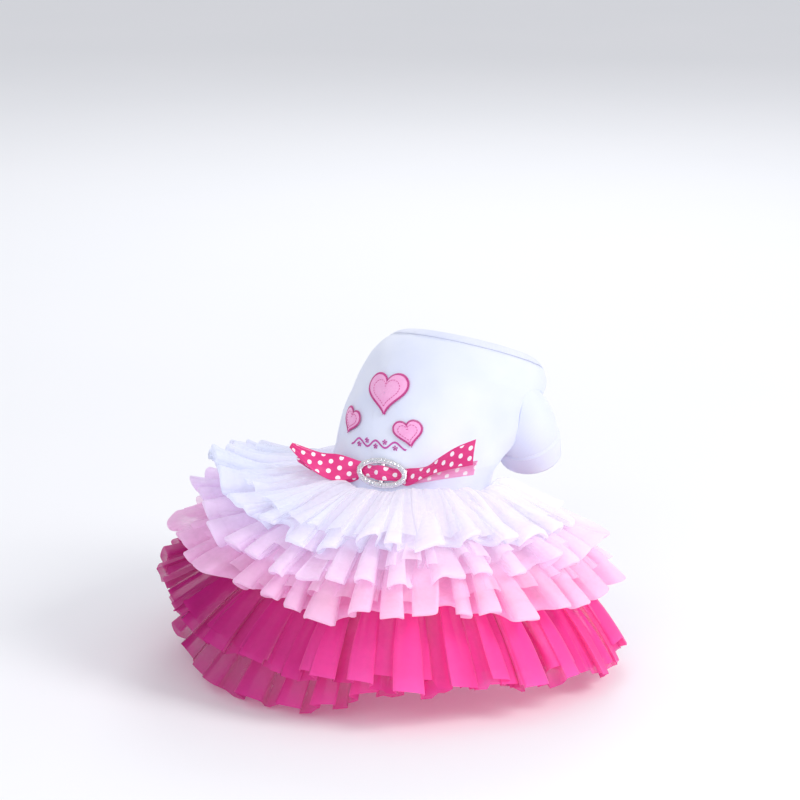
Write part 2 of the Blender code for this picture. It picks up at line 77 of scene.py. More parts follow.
towards = Vector((math.sin(VIEW_TURN) * math.cos(VIEW_RISE),
                  -math.cos(VIEW_TURN) * math.cos(VIEW_RISE), math.sin(VIEW_RISE)))
rightward = Vector((math.cos(VIEW_TURN), math.sin(VIEW_TURN), 0))
upward = towards.cross(rightward)
bpy.context.scene.view_settings.view_transform = "Standard"
aim = (rightward * (FRAME / 2 - WAIST_PIXEL[0]) + upward * (WAIST_PIXEL[1] - FRAME / 2)) * PIXEL
camera = bpy.data.objects.new("camera", bpy.data.cameras.new("camera"))
camera.data.lens = LENS
camera.data.clip_start = 0.05
camera.matrix_world = Matrix((rightward, upward, towards)).transposed().to_4x4()
camera.location = aim + towards * DISTANCE
bpy.context.scene.collection.objects.link(camera)
bpy.context.scene.camera = camera
print("one pixel is", round(PIXEL / MM, 3), "mm at the waist")

# %% [markdown]
# The light is a bright, even studio: a pale world, one large soft light from the front left of
# the view and a smaller one from the right.

# %% World and lights
WORLD_COLOUR, WORLD_STRENGTH = (0.95, 0.96, 1.0, 1), 0.72
LIGHTS = {  # place, size in metres, power in watts and colour
    "key": ((1.75, 0.25, 1.35), 0.8, 21, (1.0, 0.98, 0.97)),
    "front": ((0.6, -1.9, 0.9), 1.2, 9, (0.94, 0.96, 1.0)),
    "rim": ((-0.9, 1.6, 1.3), 0.8, 9, (0.96, 0.98, 1.0)),
}

world = bpy.data.worlds.new("studio")
world.use_nodes = True
background = world.node_tree.nodes["Background"]
background.inputs["Color"].default_value = WORLD_COLOUR
background.inputs["Strength"].default_value = WORLD_STRENGTH
bpy.context.scene.world = world
for name, (place, size, power, colour) in LIGHTS.items():
    light = bpy.data.objects.new(name, bpy.data.lights.new(name, "AREA"))
    light.data.size, light.data.energy, light.data.color = size, power, colour
    light.location = place
    light.rotation_euler = (-Vector(place)).to_track_quat("-Z", "Y").to_euler()
    bpy.context.scene.collection.objects.link(light)
print("lights:", ", ".join(LIGHTS))

# %% [markdown]
# Shader maths reads best as plain arithmetic, so one small class wraps a node's output socket
# and turns +, -, *, / into Math nodes. Any other node comes from one method that takes its
# type, its settings and the values of its sockets.


# %% Shader arithmetic
class Field:
    """A number that varies over a surface, held as the output socket of a node."""

    def __init__(self, finish, socket):
        self.finish, self.socket = finish, socket


def arithmetic(kind, swapped=False):
    """A method that adds a Math node of one kind, with its two values in order or swapped."""
    def method(field, other=0.0):
        values = {0: other, 1: field} if swapped else {0: field, 1: other}
        return field.finish.node("ShaderNodeMath", {"operation": kind}, values)
    return method


for method, kind in {
        "__add__": "ADD", "__radd__": "ADD", "__sub__": "SUBTRACT", "__mul__": "MULTIPLY",
        "__rmul__": "MULTIPLY", "__truediv__": "DIVIDE", "least": "MINIMUM", "most": "MAXIMUM",
        "less_than": "LESS_THAN", "absolute": "ABSOLUTE", "fraction": "FRACT", "sine": "SINE",
        "floor": "FLOOR"}.items():
    setattr(Field, method, arithmetic(kind))
Field.__rsub__ = arithmetic("SUBTRACT", swapped=True)


class Finish:
    """One material: a Principled shader whose sockets take numbers, colours or fields."""

    def __init__(self, name, **constants):
        self.material = bpy.data.materials.new(name)
        self.material.use_nodes = True
        self.tree = self.material.node_tree
        self.shader = self.tree.nodes["Principled BSDF"]
        self.output = self.tree.nodes["Material Output"]
        for socket, value in constants.items():
            self.set(socket.replace("_", " "), value)

    def set(self, socket, value):
        self.fill(self.shader.inputs[socket], value)

    def fill(self, socket, value):
        """Give an input socket a field's link, or a plain number, colour or vector."""
        if isinstance(value, Field):
            self.tree.links.new(value.socket, socket)
        elif isinstance(value, tuple) and len(value) == 3 and len(socket.default_value) == 4:
            socket.default_value = (*value, 1)
        else:
            socket.default_value = value

    def node(self, kind, settings=None, sockets=None, output=0):
        """Add a node: its settings first, then the values or links of its sockets."""
        made = self.tree.nodes.new(kind)
        for name, value in (settings or {}).items():
            if name == "stops":
                ramp = made.color_ramp.elements
                while len(ramp) < len(value):
                    ramp.new(0.5)
                for stop, (place, colour) in zip(ramp, value):
                    stop.position, stop.color = place, (*colour, 1)
            else:
                setattr(made, name, value)
        for name, value in (sockets or {}).items():
            self.fill(made.inputs[name], value)
        return Field(self, made.outputs[output])

    def coordinate(self, which="Object"):
        return self.node("ShaderNodeTexCoord", output=which)

    def attribute(self, name):
        return self.node("ShaderNodeAttribute", {"attribute_name": name}, output="Fac")

    def split(self, vector):
        """The three parts of a vector, each as a field."""
        made = self.tree.nodes.new("ShaderNodeSeparateXYZ")
        self.tree.links.new(vector.socket, made.inputs[0])
        return [Field(self, made.outputs[i]) for i in range(3)]

    def noise(self, scale, detail=2.0, where=None):
        values = {"Vector": where or self.coordinate(), "Scale": scale, "Detail": detail}
        return self.node("ShaderNodeTexNoise", {}, values, "Fac")

    def mix(self, factor, first, second):
        """A blend of two colours, by a factor from 0 to 1."""
        settings = {"data_type": "RGBA", "clamp_factor": True}
        return self.node("ShaderNodeMix", settings, {0: factor, 6: first, 7: second}, 2)

    def ramp(self, factor, *stops):
        return self.node("ShaderNodeValToRGB", {"stops": stops}, {"Fac": factor}, "Color")

    def bump(self, height, distance, strength=1.0):
        values = {"Height": height, "Distance": distance, "Strength": strength}
        self.set("Normal", self.node("ShaderNodeBump", {}, values, "Normal"))


print("shader helpers ready")

# %% [markdown]
# The floor is a pale disc just under the lowest hem. It belongs to the studio, not to the dress.

# %% Floor
FLOOR_DROP = 1.5 * MM
FLOOR_RADIUS = 6.0

bpy.ops.mesh.primitive_circle_add(vertices=96, radius=FLOOR_RADIUS, fill_type="NGON",
                                  location=(0, 0, CAD_BOX[0].z - FLOOR_DROP))
floor = bpy.context.active_object
floor.name = "floor"
paper = Finish("paper", Roughness=0.9, Specular_IOR_Level=0.1)
paper.set("Base Color", paper.mix(paper.noise(3.0), (0.90, 0.91, 0.93), (0.93, 0.93, 0.95)))
floor.data.materials.append(paper.material)
print("floor", FLOOR_DROP / MM, "mm under the lowest hem")

# %% [markdown]
# Most pieces here are grids: an array of rows and columns of points, worked out all at once
# from two parameters. One function makes a mesh of such a grid, with quads between neighbours
# and a UV map in metres along the cloth, so that weave and dots keep their real size.


# %% Grids to meshes
def make_mesh(name, points, faces, finish, uv=None, fields=None):
    """A mesh from an array of points and an array of faces with equally many corners."""
    points = np.asarray(points, float).reshape(-1, 3)
    faces = np.asarray(faces, np.int32)
    mesh = bpy.data.meshes.new(name)
    mesh.vertices.add(len(points))
    mesh.vertices.foreach_set("co", points.astype(np.float32).ravel())
    mesh.loops.add(faces.size)
    mesh.loops.foreach_set("vertex_index", faces.ravel())
    mesh.polygons.add(len(faces))
    starts = np.arange(0, faces.size, faces.shape[1], dtype=np.int32)
    mesh.polygons.foreach_set("loop_start", starts)
    mesh.update(calc_edges=True)
    if uv is not None:
        layer = mesh.uv_layers.new(name="cloth")
        corners = np.asarray(uv, np.float32).reshape(-1, 2)[faces.ravel()]
        layer.data.foreach_set("uv", corners.ravel())
    for field, values in (fields or {}).items():
        made = mesh.attributes.new(field, "FLOAT", "POINT")
        made.data.foreach_set("value", np.asarray(values, np.float32).ravel())
    mesh.materials.append(finish.material)
    mesh.shade_smooth()
    mesh.validate()
    piece = bpy.data.objects.new(name, mesh)
    bpy.context.scene.collection.objects.link(piece)
    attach(piece, "root")
    return piece


def grid_faces(rows, columns, closed=False):
    """Quads between neighbouring grid points; a closed grid joins its last column to the first."""
    r = np.arange(rows - 1)[:, None] * columns
    c = np.arange(columns if closed else columns - 1)[None]
    d = (c + 1) % columns
    return np.stack([r + c, r + d, r + columns + d, r + columns + c], -1).reshape(-1, 4)


def line_run(line):
    """Metres run along a line of points up to each of them, from 0 at the first."""
    return np.concatenate([[0], np.cumsum(np.linalg.norm(np.diff(line, axis=0), axis=1))])


def circle(count):
    """Equally spaced angles, once round."""
    return TURN * np.arange(count) / count


def cloth_lengths(points):
    """UV of a grid: metres along each row from its first column, and down from the first row."""
    along = np.linalg.norm(np.diff(points, axis=1), axis=2)
    down = np.linalg.norm(np.diff(points, axis=0), axis=2)
    u = np.concatenate([np.zeros((len(points), 1)), np.cumsum(along, axis=1)], axis=1)
    v = np.concatenate([np.zeros((1, points.shape[1])), np.cumsum(down, axis=0)], axis=0)
    widest = u[np.argmax(u[:, -1])]
    return np.stack([np.broadcast_to(widest, u.shape), v], -1)


def thicken(piece, wall, offset=-1.0):
    """Give a sheet its wall: inwards at offset -1, to both sides at 0."""
    solid = piece.modifiers.new("wall", "SOLIDIFY")
    solid.thickness, solid.offset = wall, offset


def grid_area(points):
    """Area of a grid: half the length of the cross product of each quad's diagonals, summed."""
    a, b = points[:-1, :-1] - points[1:, 1:], points[:-1, 1:] - points[1:, :-1]
    return float(np.linalg.norm(np.cross(a, b), axis=2).sum() / 2)


def unit(vectors):
    """Vectors divided by their own lengths."""
    return vectors / np.maximum(np.linalg.norm(vectors, axis=-1, keepdims=True), 1e-12)


def vec(x, y, z):
    """Three arrays or numbers as one array of points."""
    return np.stack(np.broadcast_arrays(x, y, z), -1)


def spline(values, at):
    """A smooth curve through equally spaced values, read at fractional places: between two of
    them a cubic takes its slopes from the neighbours on either side."""
    values = np.asarray(values, float)
    last = len(values) - 1
    at = np.clip(at, 0, last)
    i = np.minimum(at.astype(int) if isinstance(at, np.ndarray) else int(at), last - 1)
    t = at - i
    a, b, c, d = (values[np.clip(i + k, 0, last)] for k in (-1, 0, 1, 2))
    m, n = (c - a) / 2, (d - b) / 2
    return ((b * (1 + 2 * t) + m * t) * (1 - t) ** 2
            + (c * (3 - 2 * t) - n * (1 - t)) * t * t)


print("grid helpers ready")

# %% [markdown]
# The wearer's body gives the bodice its form. Seven level sections, from the hem under the
# skirt to the neck, each say how high and how far forward the body is there, how wide it is as
# a blend of waist, chest and neck, and how it tilts and turns. A spline joins them, so every
# place on the cloth is a row (0 at the hem, 6 at the neck) and an angle round the body.

# %% The body under the cloth
WAIST, CHEST, NECK = (112 * MM, 104 * MM), (126 * MM, 122 * MM), (98 * MM, 80 * MM)
BODY_RISE, BODY_LEAN, BODICE_DROP = 71 * MM, 69 * MM, 25 * MM
JERSEY, RIB, TULLE, RIBBON, SEAM_GAP = 1.4 * MM, 1.9 * MM, 1.1 * MM, 1.0 * MM, 0.3 * MM
BODY = {
    "drop": (1.00, 0.00, 0.00, 0.00, 0.00, 0.00, 0.00),
    "rise": (0.00, 0.00, 0.25, 0.53, 0.81, 0.96, 1.02),
    "lean": (-0.04, 0.00, 0.20, 0.51, 0.81, 0.97, 1.00),
    "waist": (1.00, 1.00, 0.40, 0.00, 0.00, 0.00, 0.00),
    "chest": (0.00, 0.00, 0.60, 1.00, 0.95, 0.45, 0.00),
    "neck": (0.00, 0.00, 0.00, 0.00, 0.05, 0.55, 1.00),
    "tilt": (4, 5, 10, 16, 21, 24, 25),
    "turn": (5, 5, -3, -12, -15, -16, -16),
}
WAIST_ROW, SLEEVE_ROW, COLLAR_ROW, NECK_ROW = 1.0, 3.5, 5.0, 6.0
CREASES = ((3.7, 78, 1.5, 92, 0.085, 0.030), (3.3, 62, 1.3, 66, 0.070, 0.018),
           (3.7, -78, 1.5, -92, 0.085, 0.030), (3.3, -62, 1.3, -66, 0.070, 0.018))


def body_ring(row):
    """Centre, forward direction, half width, half depth and turn of the body at each row."""
    value = {name: spline(values, row) for name, values in BODY.items()}
    sizes = {"waist": WAIST, "chest": CHEST, "neck": NECK}
    half_w, half_d = (sum(value[k] * size[i] for k, size in sizes.items()) / 2 for i in (0, 1))
    height = value["rise"] * BODY_RISE - value["drop"] * BODICE_DROP
    tilt = np.radians(value["tilt"])
    zero = np.zeros_like(tilt)
    centre = vec(zero, value["lean"] * BODY_LEAN, height)
    forward = vec(zero, np.cos(tilt), -np.sin(tilt))
    return centre, forward, half_w, half_d, np.radians(value["turn"])


def crease_depth(row, angle):
    """Long soft folds under each sleeve: a half sine along them and a bell across them."""
    sunk = np.zeros(np.broadcast(row, angle).shape)
    for row_a, turn_a, row_b, turn_b, width, depth in CREASES:
        along = np.clip((row - row_a) / (row_b - row_a), 0, 1)
        middle = np.radians(turn_a + (turn_b - turn_a) * along)
        across = (angle - middle) / (width * TURN)
        sunk = sunk + depth * CHEST[0] * np.sin(np.pi * along) * np.exp(-4 * across ** 2)
    return sunk


def body_point(row, angle, out=0.0):
    """The ellipse of the row's section, at an angle from the back line, moved out along the
    normal."""
    row, angle = np.broadcast_arrays(np.asarray(row, float), np.asarray(angle, float))
    centre, forward, half_w, half_d, turn = body_ring(row)
    a = angle + turn
    side = np.array([1.0, 0, 0])
    sine, cosine = np.sin(a)[..., None], np.cos(a)[..., None]
    half_w, half_d = half_w[..., None], half_d[..., None]
    normal = unit(side * sine / half_w - forward * cosine / half_d)
    skin = centre + side * half_w * sine - forward * half_d * cosine
    return skin + normal * np.asarray(out)[..., None]


def body_frame(row, angle):
    """Point, rightward, upward and outward directions on the bodice's face."""
    step = 0.02
    point = body_point(row, angle)
    right = unit(body_point(row, np.add(angle, step)) - body_point(row, np.subtract(angle, step)))
    up = unit(body_point(np.add(row, step), angle) - body_point(np.subtract(row, step), angle))
    out = unit(np.cross(right, up))
    return point, right, np.cross(out, right), out


chest_line = body_point(3.0, np.linspace(0, TURN, 200))
print("chest girth in mm:", round(float(line_run(chest_line)[-1]) / MM))

# %% [markdown]
# Cotton jersey is a knit: on its face every stitch is a small V and the stitches stand in
# columns. The finish takes the cloth's own UV in metres, cuts it into columns and courses and
# raises a rounded V in each. A slow noise paints the faint lavender and blue cast of soft shade,
# and the grooves between the stitches are painted a little darker, as shade. The rib band has
# the same yarn with wide raised columns.


# %% Jersey and rib
def knit(name, colour, shade, column, course, lift):
    """A knitted cloth: V stitches in columns, from the cloth's UV in metres."""
    finish = Finish(name, Roughness=0.85, Specular_IOR_Level=0.25, Sheen_Weight=0.35,
                    Sheen_Roughness=0.45, Subsurface_Weight=0.12,
                    Subsurface_Radius=(0.004, 0.004, 0.005))
    u, v, _ = finish.split(finish.coordinate("UV"))
    across = ((u / column).fraction() - 0.5).absolute()
    along = ((v / course + across * 1.6).fraction() - 0.5).absolute()
    stitch = (0.5 - across) * 1.3 + (0.5 - along) * 0.7
    finish.bump(stitch, lift, 0.55)
    # Painted shade: the slow noise darkens patches towards the shade colour, and the grooves
    # between stitches are painted a little darker than the raised stitches.
    cloud = finish.noise(22.0, 3.0)
    finish.set("Base Color", finish.mix(cloud * 1.5 - 0.4 + stitch * 0.12, shade, colour))
    return finish


jersey = knit("jersey", (0.84, 0.86, 0.96), (0.71, 0.76, 0.94), 0.9 * MM, 0.7 * MM, 0.12 * MM)
rib = knit("rib", (0.80, 0.82, 0.93), (0.68, 0.72, 0.90), 2.2 * MM, 0.9 * MM, 0.35 * MM)
print("jersey and rib ready")

# %% [markdown]
# The bodice is one tube of jersey from the hem under the skirt to the collar seam. It is built
# as a fine grid on the body, sunk along the folds under the sleeves and shaken by small
# wrinkles, then given its wall inwards. Where a sleeve opens into it the cloth is cut away.

# %% Bodice
BODICE_ROWS, BODICE_COLUMNS = 150, 300
SLEEVE_TOP, SLEEVE_HEM, SLEEVE_OUT = 50 * MM, 42 * MM, 43 * MM
SLEEVE_FORWARD, SLEEVE_LENGTH = 36 * MM, 46 * MM
SIDES = {"right": 1, "left": -1}
CUT_DEPTH = 2.2 * MM


def sleeve_path(side, t):
    """A bent tube's middle line, its two directions across and its radius; t runs from 0 inside
    the shoulder to 1 at the hem. The line is a quadratic curve through three places."""
    centre, _, half_w, _, turn = (np.asarray(v) for v in body_ring(np.float64(SLEEVE_ROW)))
    cosine, sine = math.cos(turn), math.sin(turn)
    turned = np.array([[cosine, -sine, 0], [sine, cosine, 0], [0, 0, 1]])
    top, bend, hem = (centre + turned @ np.array(p) for p in (
        (side * half_w * 0.50, SLEEVE_FORWARD * 0.24, 0),
        (side * half_w * 0.84, SLEEVE_FORWARD * 0.60, -SLEEVE_LENGTH * 0.24),
        (side * SLEEVE_OUT, SLEEVE_FORWARD, -SLEEVE_LENGTH)))
    t = np.asarray(t, float)[..., None]
    middle = top * (1 - t) ** 2 + bend * 2 * t * (1 - t) + hem * t * t
    axis = unit((bend - top) * (1 - t) + (hem - bend) * t)
    across = unit(np.cross(axis, [0.0, 1, 0]))
    cap = 1 - 0.30 * np.maximum(0, 1 - t / 0.5) ** 2
    radius = (SLEEVE_TOP + (SLEEVE_HEM - SLEEVE_TOP) * t) / 2 * cap
    return middle, axis, across, np.cross(axis, across), radius


def inside_sleeve(points, depth):
    """Whether each point lies deeper than a length inside either sleeve's tube."""
    found = np.zeros(len(points), bool)
    for side in SIDES.values():
        middle, axis, _, _, radius = sleeve_path(side, np.linspace(0.0, 0.9, 46))
        gap = points[:, None] - middle
        along = np.einsum("pti,ti->pt", gap, axis)
        off = np.linalg.norm(gap - along[..., None] * axis, axis=2)
        found |= ((np.abs(along) < 1.2 * MM) & (off < radius[:, 0] - depth)).any(axis=1)
    return found


def wrinkles(row, angle):
    """Small folds in jersey: a few slanted waves whose strength comes and goes over the cloth."""
    waves = 0.55 * np.sin(7 * angle + 3.1 * row) * np.sin(1.3 * row + 2 * angle)
    waves = waves + 0.35 * np.sin(11 * angle - 4.3 * row + 1) * np.sin(0.9 * row - 3 * angle)
    return waves * np.sin(np.pi * np.clip(row / COLLAR_ROW, 0, 1)) * 1.3 * MM


angles = circle(BODICE_COLUMNS)
step = 0.05
below = body_point(COLLAR_ROW, angles) - body_point(COLLAR_ROW - step, angles)
last_row = COLLAR_ROW - (SEAM_GAP + RIB * 0.3) / (np.linalg.norm(below, axis=1) / step)
rows = np.linspace(0, 1, BODICE_ROWS)[:, None] * last_row
wrapped = (angles + np.pi) % TURN - np.pi
bodice_grid = body_point(rows, angles[None], wrinkles(rows, wrapped) - crease_depth(rows, wrapped))
hidden = inside_sleeve(bodice_grid.reshape(-1, 3), CUT_DEPTH)
faces = grid_faces(BODICE_ROWS, BODICE_COLUMNS, True)
faces = faces[~hidden[faces].all(axis=1)]
bodice = make_mesh("bodice_cloth", bodice_grid, faces, jersey,
                   cloth_lengths(bodice_grid))
thicken(bodice, JERSEY)
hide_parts("bodice")
bodice_area = grid_area(np.concatenate([bodice_grid, bodice_grid[:, :1]], axis=1))
print("bodice:", len(faces), "faces, cloth", round(bodice_area, 4), "square metres")

# %% [markdown]
# The neck band is a strip of rib folded double and sewn to the collar. It stands a little
# proud of the jersey, rolls over at its top edge and dips at the seam.

# %% Neck band
BAND_ROWS, BAND_COLUMNS = 26, 300
across = np.linspace(0, 1, BAND_ROWS)[:, None]
band_rows = COLLAR_ROW + (NECK_ROW - COLLAR_ROW) * across
bulge = (np.sin(np.pi * across) ** 0.6 - 0.35) * 0.5 * MM
ribs = 0.10 * MM * np.cos(angles * 96)
band_grid = body_point(band_rows, angles[None], bulge + ribs * np.sin(np.pi * across))
faces = grid_faces(BAND_ROWS, BAND_COLUMNS, True)
band = make_mesh("neck_band_rib", band_grid, faces, rib, cloth_lengths(band_grid))
thicken(band, RIB)
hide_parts("neck_band")
print("neck band:", len(faces), "faces")

# %% [markdown]
# Each short sleeve is a bent tube that starts inside the shoulder and hangs forward and down.
# Its hem is turned up once, which shows as a slight step and a pinched line of stitching. The
# part of the tube that lies inside the bodice is cut away, and a thin cord of cloth follows the
# line where the two surfaces meet, as the sewn armhole does.

# %% Sleeves and armhole seams
SLEEVE_ROWS, SLEEVE_COLUMNS = 110, 150
HEM_LINE, HEM_STEP, HEM_PINCH = 0.80, 0.35 * MM, 0.45 * MM
SECTION_REACH = 0.8 * MM


def depth_in_body(points):
    """How far inside the body's skin each point lies, along the level section that it is in."""
    levels = np.linspace(0.2, COLLAR_ROW, 260)
    centre, forward, half_w, half_d, _ = body_ring(levels)
    gap = points[:, None] - centre
    up = np.cross([1.0, 0, 0], forward)
    height = np.abs(np.einsum("pti,ti->pt", gap, up))
    size = np.hypot(gap[..., 0] / half_w, np.einsum("pti,ti->pt", gap, forward) / half_d)
    size = np.where(height < SECTION_REACH, size, np.inf)
    best = size.argmin(axis=1)
    picked = size[np.arange(len(points)), best]
    return np.where(np.isfinite(picked), (1 - picked) * half_w[best], -1.0)


def sleeve_grid(side, t, out):
    """The tube's rings: at each t a circle round the middle line, moved out along its radius."""
    a = circle(SLEEVE_COLUMNS)
    middle, _, across, along, radius = sleeve_path(side, t)
    ring = across[:, None] * np.cos(a)[None, :, None] + along[:, None] * np.sin(a)[None, :, None]
    return middle[:, None] + ring * (radius[:, None] + out[..., None])


t = np.linspace(0, 1, SLEEVE_ROWS)
hem = HEM_STEP * (t > HEM_LINE) - HEM_PINCH * np.exp(-((t - HEM_LINE) / 0.012) ** 2)
slack = 0.8 * MM * (np.sin(np.pi * t) * np.sin(5 * t))[:, None]
sleeve_out = hem[:, None] + slack * np.sin(3 * circle(SLEEVE_COLUMNS) + 1)[None]
sleeves = {}
for word, side in SIDES.items():
    sleeves[word] = grid = sleeve_grid(side, t, sleeve_out)
    kept = depth_in_body(grid.reshape(-1, 3)) < CUT_DEPTH
    faces = grid_faces(SLEEVE_ROWS, SLEEVE_COLUMNS, True)
    faces = faces[kept[faces].all(axis=1)]
    sleeve = make_mesh("sleeve_" + word + "_cloth", grid, faces, jersey,
                       cloth_lengths(grid))
    thicken(sleeve, JERSEY)
    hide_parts("sleeve_" + word)
    print("sleeve", word, len(faces), "faces")


def seam_loop(side, out):
    """The closed line where a sleeve's tube passes through the bodice: for each direction round
    the tube, the place along it where the depth in the body falls to nothing."""
    t = np.linspace(0.0, 0.98, 100)
    grid = sleeve_grid(side, t, np.full((len(t), SLEEVE_COLUMNS), out))
    deep = depth_in_body(grid.reshape(-1, 3)).reshape(len(t), SLEEVE_COLUMNS)
    last = len(t) - 1 - (deep[::-1] > 0).argmax(axis=0)
    last = np.clip(last, 0, len(t) - 2)
    columns = np.arange(SLEEVE_COLUMNS)
    here, after = deep[last, columns], deep[last + 1, columns]
    share = np.clip(here / np.maximum(here - after, 1e-9), 0, 1)[:, None]
    loop = grid[last, columns] * (1 - share) + grid[last + 1, columns] * share
    for _ in range(6):
        loop = (np.roll(loop, 1, axis=0) + 2 * loop + np.roll(loop, -1, axis=0)) / 4
    return loop


def round_ahead(line):
    """The direction from the place before to the place after, on a closed line."""
    return np.roll(line, -1, axis=0) - np.roll(line, 1, axis=0)


def seam_cord(name, line, radius, sides=10):
    """A round roll of cloth along a closed line: at each place a circle square to the line."""
    ahead = unit(round_ahead(line))
    side = unit(np.cross(ahead, np.array([0.31, 0.22, 0.93])))
    other = np.cross(ahead, side)
    a = circle(sides)[None, :, None]
    points = line[:, None] + (side[:, None] * np.cos(a) + other[:, None] * np.sin(a)) * radius
    points = np.concatenate([points, points[:1]])
    faces = grid_faces(len(points), sides, True)[:, ::-1]
    return make_mesh(name, points, faces, jersey, cloth_lengths(points))


print("armhole seams ready")

# %% [markdown]
# The skirt is five tiers of tulle, each a long strip gathered to the bodice just under the
# waist. The tiers spring outwards and fall over, so the side view is a fountain: white on top,
# blush below it, hot pink underneath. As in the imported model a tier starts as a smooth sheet
# between its seam and its hem line, and folds are then pushed out of it.
#
# Three things make tulle look like tulle. The folds are balloons, wider at their crown than at
# their neck, because the strip is much longer than the line it hangs on. No two folds have
# the same width, height or length. And the soft tiers are folded double at the hem, so that
# each fold ends in a rounded loop with a pale rim, where one looks along the cloth.

# %% The form of a tier
SKIRT_REACH, SKIRT_DROP, SKIRT_SPAN = 152 * MM, 112 * MM, math.radians(224)
FOLD_DEPTH, FOLD_COUNT, FOLD_SAMPLES = 7.2 * MM, 22, 20
TIERS = {
    "ruffle_white_top": dict(
        seam=0.30, spring=0.46, lift=0.00, depth=0.90,
        reach=(0.82, 0.88, 0.88, 0.86, 0.76), drop=(0.26, -0.10, 0.15, 0.17, 0.25)),
    "ruffle_white_middle": dict(
        seam=0.46, spring=0.54, lift=0.03, depth=0.95,
        reach=(0.90, 0.97, 0.97, 0.94, 0.84), drop=(0.41, 0.14, 0.32, 0.33, 0.38)),
    "ruffle_blush_lower": dict(
        seam=0.62, spring=0.60, lift=0.07, depth=1.00,
        reach=(0.99, 1.05, 1.05, 1.02, 0.93), drop=(0.62, 0.36, 0.50, 0.52, 0.62)),
    "skirt_pink_outer": dict(
        seam=0.78, spring=0.70, lift=0.32, depth=1.00,
        reach=(1.06, 1.13, 1.12, 1.08, 0.98), drop=(0.86, 0.62, 0.82, 0.90, 1.04)),
    "skirt_pink_under": dict(
        seam=0.94, spring=0.66, lift=0.48, depth=0.90,
        reach=(0.96, 1.06, 1.04, 1.00, 0.88), drop=(1.06, 0.98, 1.08, 0.88, 1.10)),
}


def tier_base(tier, angle, share):
    """The tier without folds: for each angle a quadratic curve from the seam, out over a
    place that is level with it, down to the hem."""
    row = WAIST_ROW - tier["seam"]
    _, _, half_w, half_d, turn = body_ring(np.float64(row))
    out = unit(vec(np.sin(angle) / half_w, -np.cos(angle) / half_d, np.zeros_like(angle)))
    seam = body_point(row, angle - turn) + out * (SEAM_GAP + TULLE * 0.4)
    at = (angle / SKIRT_SPAN + 0.5) * 4
    reach, drop = spline(tier["reach"], at) * SKIRT_REACH, spline(tier["drop"], at) * SKIRT_DROP
    hem = vec(reach * np.sin(angle), -reach * np.cos(angle), -drop)
    level = np.linalg.norm((hem - seam)[..., :2], axis=-1, keepdims=True)
    bend = seam + out * level * tier["spring"] - vec(0, 0, tier["lift"] * SKIRT_DROP)
    share = share[..., None]
    return seam * (1 - share) ** 2 + bend * 2 * share * (1 - share) + hem * share ** 2


def tier_axes(tier, angle, share):
    """The smooth sheet's place, its level direction, its downward direction and its outer face."""
    step, past_hem = 0.01, 1.02
    centre = tier_base(tier, angle, share)
    around = tier_base(tier, angle + step, share) - tier_base(tier, angle - step, share)
    down = (tier_base(tier, angle, np.minimum(share + step, past_hem))
            - tier_base(tier, angle, share - step))
    around, down = unit(around), unit(down)
    face = unit(np.cross(down, around))
    return centre, around, np.cross(around, face), face


